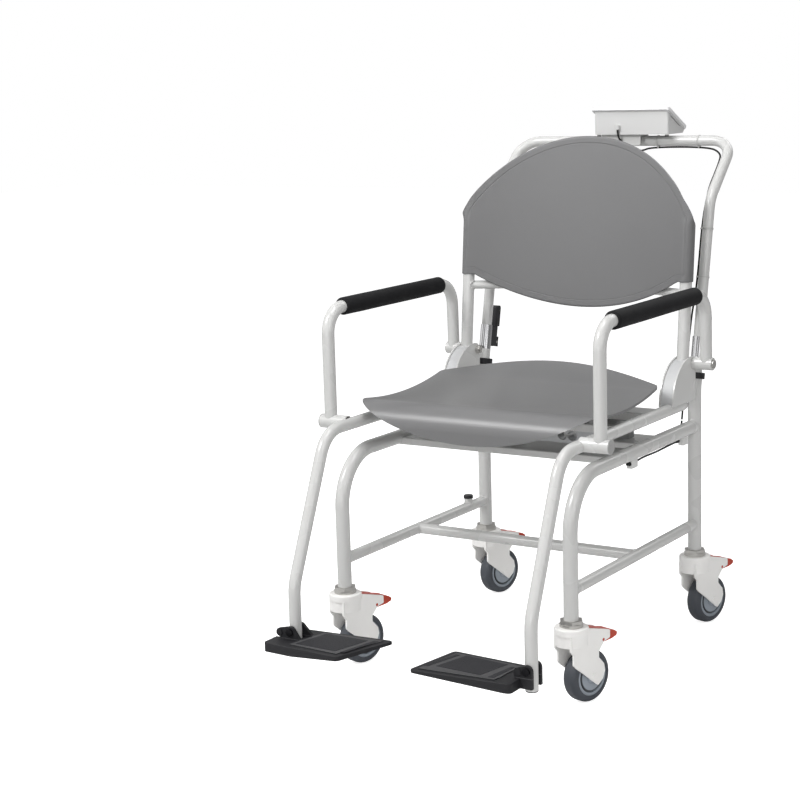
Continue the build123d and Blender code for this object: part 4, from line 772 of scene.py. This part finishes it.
class CHAIRSCALE_OT_foot_plates(bpy.types.Operator):
    """Finishes the foot plates and lays their decks and rubber inserts"""

    bl_idname = "chairscale.foot_plates"
    bl_label = "Foot plates"

    def execute(self, context):
        colours = context.scene.chair_colours
        plate = moulded_plastic("plate_plastic", colours.plate)
        # Painted highlight: the raised tops take the lighter rib colour
        banded_colour(plate, "Z", RIB_HIGHLIGHT_BAND, colours.tread)
        insert = grip_rubber_crest_highlight(colours.plate)
        for side in SIDES:
            give(plate, "footplate_" + side)
            for name, outlines, levels, finish in (
                ("tread_deck_", TREAD_DECKS[side], DECK_LEVELS, plate),
                ("tread_insert_", TREAD_INSERTS[side], INSERT_LEVELS, insert),
            ):
                mat = bmesh.new()
                add_plates(mat, outlines, *levels, Matrix.Translation((0.0, FRONT_LEGS * MM, 0.0)))
                bmesh.ops.bevel(
                    mat, geom=mat.edges[:], offset=TREAD_ROUND * MM, segments=2, profile=0.5, affect="EDGES",
                    material=-1,
                )
                piece(name + side, mat, finish, "footplate_" + side, smooth=False)
        return {"FINISHED"}


class CHAIRSCALE_OT_casters(bpy.types.Operator):
    """Finishes the caster forks, wheels and brake pedals"""

    bl_idname = "chairscale.casters"
    bl_label = "Casters"

    def execute(self, context):
        colours = context.scene.chair_colours
        housing = moulded_plastic("caster_plastic", colours.caster)
        tread = moulded_plastic("tyre_rubber", colours.tyre)
        pedal = moulded_plastic("pedal_plastic", colours.pedal)
        joints = {joint["name"]: joint for joint in frame["record"]["behaviour"]["joints"]}
        for place in CASTERS:
            hub = wheel_centre(colours.hub, middle("hub_" + place), joints["roll_" + place]["axis"])
            give(housing, "caster_fork_" + place)
            give(tread, "tyre_" + place)
            give(hub, "hub_" + place)
            give(pedal, "brake_pedal_" + place)
        return {"FINISHED"}


# The indicator in millimetres; on its face x goes across, y up and z out, from the face's middle
FACE_X = 30.0
FACE_AHEAD = 36.0
FACE_TOP_Z = 1075.0
FACE_HALF = 53.5
FACE_TILT = math.radians(26.0)
FACE_RECESS = 1.0
WINDOW_Y = 6.7
WINDOW_HALF_WIDE = 51.65
WINDOW_HALF_HIGH = 17.0
BORDER = 0.9
KEY_TOP = -0.2
KEY_PITCH = 21.35
KEY_Y = -27.5
SIGN_Y = KEY_Y - 12.2
SIGN_SIZE = 1.7
SUNK = 0.02
DIGIT_WIDE = 10.0
DIGIT_HIGH = 26.0
DIGIT_LEAN = 0.09
DIGIT_PLACES = (12.5, 25.9, 39.3)
STROKE = 2.9
STROKE_GAP = 0.45
LAMP_SPOT = (-69.8, 27.0, -2.25)
LAMP_RADIUS = 1.75
LAMP_DOME_SHARE = 0.75
SOLE_X = 80.0
SOLE_BACK = 12.0
SOLE_RADIUS = 4.3
SOLE_LEVELS = (1011.6, 1013.8)


def face_place():
    """Matrix of the indicator's face: side to the reader's right, up the face, and out of it."""
    tilt_y, tilt_z = math.cos(FACE_TILT), math.sin(FACE_TILT)
    origin = from_legs(
        FACE_X, HANDLE_BAR_BACK - FACE_AHEAD + FACE_HALF * tilt_y, FACE_TOP_Z - FACE_HALF * tilt_z
    )
    turned = Matrix(((-1.0, 0.0, 0.0), (0.0, -tilt_y, tilt_z), (0.0, tilt_z, tilt_y))).transposed()
    return Matrix.Translation(origin) @ turned.to_4x4()


def zero_outlines(x, y):
    """Outlines of a leaning seven-segment zero about its middle."""
    wide, high, half = DIGIT_WIDE - STROKE, DIGIT_HIGH - STROKE, STROKE / 2
    flat_spots = [(0.0, end * high / 2, False) for end in (1, -1)]
    upright_spots = [(side * wide / 2, end * high / 4, True) for side in (1, -1) for end in (1, -1)]
    outlines = []
    for across, up, upright in flat_spots + upright_spots:
        reach = (high / 2 if upright else wide) / 2 - STROKE_GAP
        shape = [(-reach, 0), (-reach + half, -half), (reach - half, -half), (reach, 0), (reach - half, half),
                 (-reach + half, half)]
        if upright:
            shape = [(b, a) for a, b in reversed(shape)]
        outlines.append([(x + across + a + DIGIT_LEAN * (up + b), y + up + b) for a, b in shape])
    return outlines


def display_outlines():
    """The lit display: three zeros, their point and a small sign."""
    zeros = [outline for across in DIGIT_PLACES for outline in zero_outlines(across, WINDOW_Y)]
    point = disc_outline(17.9, WINDOW_Y - 12.0, 1.4)
    sign = arrow_outline(-47.3, WINDOW_Y + 8.5, 2.1, math.pi)
    return [*zeros, point, sign]


def border_outlines():
    """The four bars of the display's border."""
    long = 2 * WINDOW_HALF_WIDE + BORDER
    short = 2 * WINDOW_HALF_HIGH - BORDER
    bars = [bar_outline(0.0, WINDOW_Y + end * WINDOW_HALF_HIGH, long, BORDER) for end in (1, -1)]
    return bars + [bar_outline(end * WINDOW_HALF_WIDE, WINDOW_Y, BORDER, short) for end in (1, -1)]


def sign_outlines():
    """The small signs under four of the keys."""
    turns = ((1, 0.0), (3, -math.pi / 2), (4, math.pi / 2))
    arrows = [arrow_outline((spot - 2) * KEY_PITCH, SIGN_Y, SIGN_SIZE, turn) for spot, turn in turns]
    return arrows + [bar_outline(0.9, SIGN_Y + 0.6, 0.6, 2.4), bar_outline(0.0, SIGN_Y - 0.6, 2.4, 0.6)]


LONG_BAR = bar_outline(0.0, 0.0, 12.4, 0.6)
KEY_MARKS = (
    [arrow_outline(4.6, 1.5, 1.9, 0.0), bar_outline(-0.3, 1.5, 7.2, 0.7),
     arrow_outline(-4.6, -1.5, 1.9, math.pi), bar_outline(0.3, -1.5, 7.2, 0.7)],
    [bar_outline(0.4, 3.5, 9.0, 0.7), bar_outline(0.4, -1.8, 9.0, 0.7), bar_outline(-3.9, 0.85, 0.7, 5.2),
     bar_outline(4.7, 0.85, 0.7, 5.2), arrow_outline(0.4, -3.6, 1.9, math.pi / 2),
     disc_outline(-1.2, 0.9, 0.8, 16)],
    [LONG_BAR, bar_outline(0.0, 3.1, 3.2, 3.2), disc_outline(0.0, -3.2, 1.9),
     arrow_outline(-4.0, -3.2, 1.3, 0.0), arrow_outline(4.0, -3.2, 1.3, math.pi)],
    [LONG_BAR, bar_outline(-1.3, 3.1, 1.1, 3.6), bar_outline(1.3, 3.1, 1.1, 3.6),
     disc_outline(0.0, -3.2, 1.6)],
    [LONG_BAR, arrow_outline(0.0, 2.9, 2.1, math.pi / 2), arrow_outline(0.0, -2.9, 2.1, -math.pi / 2)],
)


def handle_piece(name, mesh, finish, base, smooth=False):
    """A small piece of the indicator in its own moulding."""
    piece(name, mesh, moulded_plastic(finish, base), "push_handle", smooth)


class CHAIRSCALE_OT_indicator(bpy.types.Operator):
    """Finishes the indicator, with its display, plain marks, power lamp and feet"""

    bl_idname = "chairscale.indicator"
    bl_label = "Indicator"

    def execute(self, context):
        colours = context.scene.chair_colours
        give(moulded_plastic("case_plastic", colours.case), "indicator_case")
        give(moulded_plastic("face_plastic", colours.face), "indicator_face")
        glass = moulded_plastic("window_plastic", colours.glass)
        glass.node_tree.nodes["Principled BSDF"].inputs["Coat Weight"].default_value = 0.8
        give(glass, "display_window")
        keys = ["key_" + str(spot + 1) for spot in range(len(KEY_MARKS))]
        give(moulded_plastic("key_rubber", colours.key), *keys)
        sole = disc_outline(0.0, 0.0, SOLE_RADIUS, 32)
        feet = bmesh.new()
        for side in SIDES.values():
            foot = from_legs(FACE_X + SOLE_X * side, HANDLE_BAR_BACK - FACE_AHEAD + SOLE_BACK, 0.0)
            add_plates(feet, [sole], *SOLE_LEVELS, Matrix.Translation(foot))
        handle_piece("case_soles", feet, "foot_rubber", colours.dark)
        place = face_place()
        thick = context.scene.chair_sizes.mark / MM
        floor = -FACE_RECESS - SUNK
        digits = bmesh.new()
        add_plates(digits, display_outlines(), floor, -FACE_RECESS + thick, place)
        handle_piece("display_digits", digits, "display_ink", colours.ink)
        rim = bmesh.new()
        add_plates(rim, border_outlines(), floor, -FACE_RECESS + 2 * thick, place)
        add_plates(rim, sign_outlines(), floor, -FACE_RECESS + thick, place)
        handle_piece("display_rim", rim, "display_border", colours.border)
        white = moulded_plastic("key_print", colours.key_mark)
        for spot, outlines in enumerate(KEY_MARKS):
            marks = bmesh.new()
            key = place @ Matrix.Translation(((spot - 2) * KEY_PITCH * MM, KEY_Y * MM, 0.0))
            add_plates(marks, outlines, KEY_TOP - SUNK, KEY_TOP + thick, key)
            piece("key_mark_" + str(spot + 1), marks, white, keys[spot], smooth=False)
        lens = bmesh.new()
        bmesh.ops.create_uvsphere(lens, u_segments=32, v_segments=16, radius=LAMP_RADIUS * MM)
        bmesh.ops.scale(lens, verts=lens.verts[:], vec=(1.0, 1.0, LAMP_DOME_SHARE))
        spot = Matrix.Translation(Vector(LAMP_SPOT) * MM)
        bmesh.ops.transform(lens, verts=lens.verts[:], matrix=place @ spot)
        handle_piece("power_lamp", lens, "lamp_lens", colours.lens, smooth=True)
        return {"FINISHED"}


# Cable routes and the ends of their sleeves, in millimetres from the front legs
INDICATOR_ROUTE = (
    (0, 732.75, 1027), (0, 732.75, 1011), (3, 752, 997), (16, 758, 981), (40, 767, 979), (64, 768, 987.7),
    (196, 768, 987.7), (227, 757, 976), (237.7, 728, 960), (237.7, 645.4, 888), (237.7, 606.3, 704),
    (234.6, 578, 636), (234.6, 537, 443),
)
CELL_ROUTE = (
    (234.6, 536.6, 441), (234.6, 530, 416), (237, 514, 403.5), (241, 484, 404.5), (244, 440, 405.5),
    (244, 385, 404), (243.5, 332, 405.5), (246, 290, 404), (246, 256, 404.5), (230, 244, 423.5),
)
RELIEFS = (
    ((238.4, 508.5, 403.8), (239.9, 494.0, 404.2)),
    ((246.0, 264.5, 404.2), (245.0, 253.0, 406.2)),
)
RELIEF_THICK = 4.3
RELIEF_THIN = 2.9
RELIEF_ROUND = 0.9


def cable(name, route, diameter, material, body, node, long, **facts):
    """A cable along its route, in place of its CAD node."""
    data = bpy.data.curves.new(name, "CURVE")
    data.dimensions = "3D"
    spline = data.splines.new("NURBS")
    spline.points.add(len(route) - 1)
    for point, place in zip(spline.points, route):
        point.co = (*from_legs(*place), 1.0)
    spline.order_u = 3
    spline.use_endpoint_u = True
    spline.resolution_u = 16
    data.bevel_depth = diameter / 2
    data.bevel_resolution = 5
    data.use_fill_caps = True
    data.materials.append(material)
    made = bpy.data.objects.new(name, data)
    bpy.context.scene.collection.objects.link(made)
    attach(made, body)
    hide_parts(node)
    return made


def strain_relief(mesh, start, end):
    """Adds a tapered rubber sleeve round a cable."""
    first, last = from_legs(*start), from_legs(*end)
    along = last - first
    turned = along.to_track_quat("Z", "Y").to_matrix().to_4x4()
    made = bmesh.ops.create_cone(
        mesh, cap_ends=True, segments=28, radius1=RELIEF_THICK * MM, radius2=RELIEF_THIN * MM,
        depth=along.length, matrix=Matrix.Translation((first + last) / 2) @ turned,
    )
    edges = {edge for vert in made["verts"] for edge in vert.link_edges}
    rims = [edge for edge in edges if len(edge.link_faces) == 2 and edge.calc_face_angle(0.0) > 1.0]
    bmesh.ops.bevel(
        mesh, geom=rims, offset=RELIEF_ROUND * MM, segments=4, profile=0.5, affect="EDGES", material=-1
    )


class CHAIRSCALE_OT_cables(bpy.types.Operator):
    """Lays the indicator's cable and the load-cell cable, and finishes their ties and clips"""

    bl_idname = "chairscale.cables"
    bl_label = "Cables"

    def execute(self, context):
        colours = context.scene.chair_colours
        diameter = context.scene.chair_sizes.cable
        sheath = moulded_plastic("cable_sheath", colours.sheath)
        facts = {"stiffness": "medium", "lay": "loose"}
        for name, route, body, node, long in (
            ("indicator_lead", INDICATOR_ROUTE, "push_handle", "indicator_cable", 0.873),
            ("load_cell_lead", CELL_ROUTE, "frame", "load_cell_cable", 0.328),
        ):
            cable(name, route, diameter, sheath, body, node, long, **facts)
        give(moulded_plastic("tie_nylon", colours.tie), "cable_ties")
        give(moulded_plastic("clip_nylon", colours.clip), "cable_clips")
        reliefs = bmesh.new()
        for start, end in RELIEFS:
            strain_relief(reliefs, start, end)
        bmesh.ops.recalc_face_normals(reliefs, faces=reliefs.faces[:])
        piece("strain_reliefs", reliefs, sheath, "frame")
        return {"FINISHED"}


CAMERA_AZIMUTH = math.radians(32.61)
CAMERA_ELEVATION = math.radians(10.19)
CAMERA_ROLL = math.radians(1.71)
CAMERA_DISTANCE = 3827.0 * MM
CAMERA_TARGET = from_legs(-257.0, 232.0, 500.0)
SENSOR = 36.0
WHITE = (1.0, 1.0, 1.0, 1.0)
WORLD_LIGHT = 0.34
SOFTBOX_WAY = (-0.52, -0.55, 0.65)
SOFTBOX_SPAN = {"From Min": -0.10, "From Max": 0.80, "To Min": 0.30, "To Max": 1.3}
FLOOR_LIFT = 0.80

# Each lamp's place, the point that it faces and its width, in metres, and its power in watts
LAMPS = {
    "key_lamp": ((-1.5, -2.2, 2.9), (0.0, 0.0, 0.5), 1.2, 69.0),
    "top_lamp": ((0.1, -0.3, 2.35), (0.0, 0.2, 0.8), 0.8, 9.0),
    "fill_lamp": ((2.6, -1.6, 1.8), (0.0, 0.0, 0.5), 2.4, 22.0),
    "back_lamp": ((0.6, 2.6, 2.6), (0.0, 0.0, 0.6), 2.0, 22.0),
    "head_lamp": ((-0.05, -0.18, 1.36), (0.0, 0.23, 0.99), 0.60, 0.8),
    "low_lamp": ((0.7, -2.7, 0.7), (0.0, 0.0, 0.15), 1.2, 8.0),
}


def studio_world():
    """Soft plain light, a white surround for the camera, and one brighter side for reflections."""
    world = bpy.data.worlds.new("studio")
    bpy.context.scene.world = world
    world.use_nodes = True
    tree = world.node_tree
    plain = tree.nodes["Background"]
    plain.inputs["Color"].default_value = WHITE
    plain.inputs["Strength"].default_value = WORLD_LIGHT
    ray = add_node(tree, "LightPath").outputs
    way = add_node(tree, "TexCoord").outputs["Generated"]
    facing = add_node(tree, "VectorMath", {0: way, 1: SOFTBOX_WAY}, operation="DOT_PRODUCT")
    softbox = add_node(tree, "MapRange", {"Value": facing.outputs["Value"], **SOFTBOX_SPAN})
    shine = add_node(tree, "Mix", {"Factor": ray["Is Glossy Ray"], "A": 1.0, "B": softbox.outputs["Result"]})
    shown = add_node(tree, "Background", {"Color": WHITE, "Strength": shine.outputs["Result"]})
    seen = maths(tree, "MAXIMUM", ray["Is Camera Ray"], ray["Is Glossy Ray"])
    seen = maths(tree, "MAXIMUM", seen, ray["Is Transmission Ray"])
    both = {"Fac": seen, 1: plain.outputs["Background"], 2: shown.outputs["Background"]}
    mix = add_node(tree, "MixShader", both)
    tree.links.new(mix.outputs["Shader"], tree.nodes["World Output"].inputs["Surface"])


def floor_material():
    """A pale floor that looks white to the camera and still takes the object's shadow."""
    material, tree, shader = plain_material("pale_floor", (0.82, 0.82, 0.82), 0.9, gloss=0.0)
    ray = add_node(tree, "LightPath").outputs["Is Camera Ray"]
    glow = add_node(tree, "Emission", {"Color": WHITE, "Strength": maths(tree, "MULTIPLY", ray, FLOOR_LIFT)})
    both = add_node(tree, "AddShader", {0: shader.outputs["BSDF"], 1: glow.outputs["Emission"]})
    tree.links.new(both.outputs["Shader"], tree.nodes["Material Output"].inputs["Surface"])
    return material


def studio_floor(half):
    """The floor, which isn't part of the object."""
    ground = bmesh.new()
    bmesh.ops.create_grid(ground, x_segments=1, y_segments=1, size=half)
    mesh = bpy.data.meshes.new("floor")
    ground.to_mesh(mesh)
    ground.free()
    mesh.materials.append(floor_material())
    floor = bpy.data.objects.new("floor", mesh)
    bpy.context.scene.collection.objects.link(floor)


def soft_lamp(name, place, aim, size, power):
    """One area lamp that points at a place and isn't seen itself."""
    data = bpy.data.lights.new(name, "AREA")
    data.shape = "DISK"
    data.size = size
    data.energy = power
    lamp = bpy.data.objects.new(name, data)
    bpy.context.scene.collection.objects.link(lamp)
    lamp.location = place
    lamp.rotation_euler = (Vector(aim) - Vector(place)).to_track_quat("-Z", "Y").to_euler()
    lamp.visible_camera = False


def photo_camera(lens):
    """The camera at the photograph's viewing angle."""
    data = bpy.data.cameras.new("photo_camera")
    data.sensor_width = SENSOR
    data.lens = lens
    data.clip_end = 100.0
    camera = bpy.data.objects.new("photo_camera", data)
    bpy.context.scene.collection.objects.link(camera)
    turn_x, turn_y = math.sin(CAMERA_AZIMUTH), math.cos(CAMERA_AZIMUTH)
    level = math.cos(CAMERA_ELEVATION)
    back = Vector((turn_x * level, -turn_y * level, math.sin(CAMERA_ELEVATION)))
    right = Vector((turn_y, turn_x, 0.0))
    upright = Matrix((right, back.cross(right), back)).transposed()
    turned = upright @ Matrix.Rotation(-CAMERA_ROLL, 3, "Z")
    camera.matrix_world = Matrix.LocRotScale(
        CAMERA_TARGET + back * CAMERA_DISTANCE, turned.to_quaternion(), None
    )
    bpy.context.scene.camera = camera


class CHAIRSCALE_OT_studio(bpy.types.Operator):
    """Adds the floor, the lamps and the camera"""

    bl_idname = "chairscale.studio"
    bl_label = "Studio"

    def execute(self, context):
        sizes = context.scene.chair_sizes
        context.scene.view_settings.view_transform = "Standard"
        studio_world()
        studio_floor(sizes.floor)
        for name, facts in LAMPS.items():
            soft_lamp(name, *facts)
        photo_camera(sizes.lens)
        return {"FINISHED"}


OPERATORS = (
    CHAIRSCALE_OT_studio, CHAIRSCALE_OT_cables, CHAIRSCALE_OT_frame, CHAIRSCALE_OT_fittings,
    CHAIRSCALE_OT_seat, CHAIRSCALE_OT_back, CHAIRSCALE_OT_arm_pads, CHAIRSCALE_OT_foot_plates,
    CHAIRSCALE_OT_casters, CHAIRSCALE_OT_indicator,
)


class CHAIRSCALE_PT_sidebar(bpy.types.Panel):
    """Lists the chair scale's pieces"""

    bl_label = "Chair scale"
    bl_space_type = "VIEW_3D"
    bl_region_type = "UI"
    bl_category = "Chair scale"

    def draw(self, context):
        for group in (context.scene.chair_colours, context.scene.chair_sizes):
            for setting in group.__annotations__:
                self.layout.prop(group, setting)
        for operator in OPERATORS:
            self.layout.operator(operator.bl_idname)


CLASSES = (ChairScaleColours, ChairScaleSizes, *OPERATORS, CHAIRSCALE_PT_sidebar)


def register():
    for one in CLASSES:
        bpy.utils.register_class(one)
    bpy.types.Scene.chair_colours = PointerProperty(type=ChairScaleColours)
    bpy.types.Scene.chair_sizes = PointerProperty(type=ChairScaleSizes)


def unregister():
    del bpy.types.Scene.chair_sizes
    del bpy.types.Scene.chair_colours
    for one in reversed(CLASSES):
        bpy.utils.unregister_class(one)


def main():
    register()
    bpy.ops.chairscale.studio()
    bpy.ops.chairscale.cables()
    bpy.ops.chairscale.frame()
    bpy.ops.chairscale.fittings()
    bpy.ops.chairscale.seat()
    bpy.ops.chairscale.back()
    bpy.ops.chairscale.arm_pads()
    bpy.ops.chairscale.foot_plates()
    bpy.ops.chairscale.casters()
    bpy.ops.chairscale.indicator()


if __name__ == "__main__":
    main()
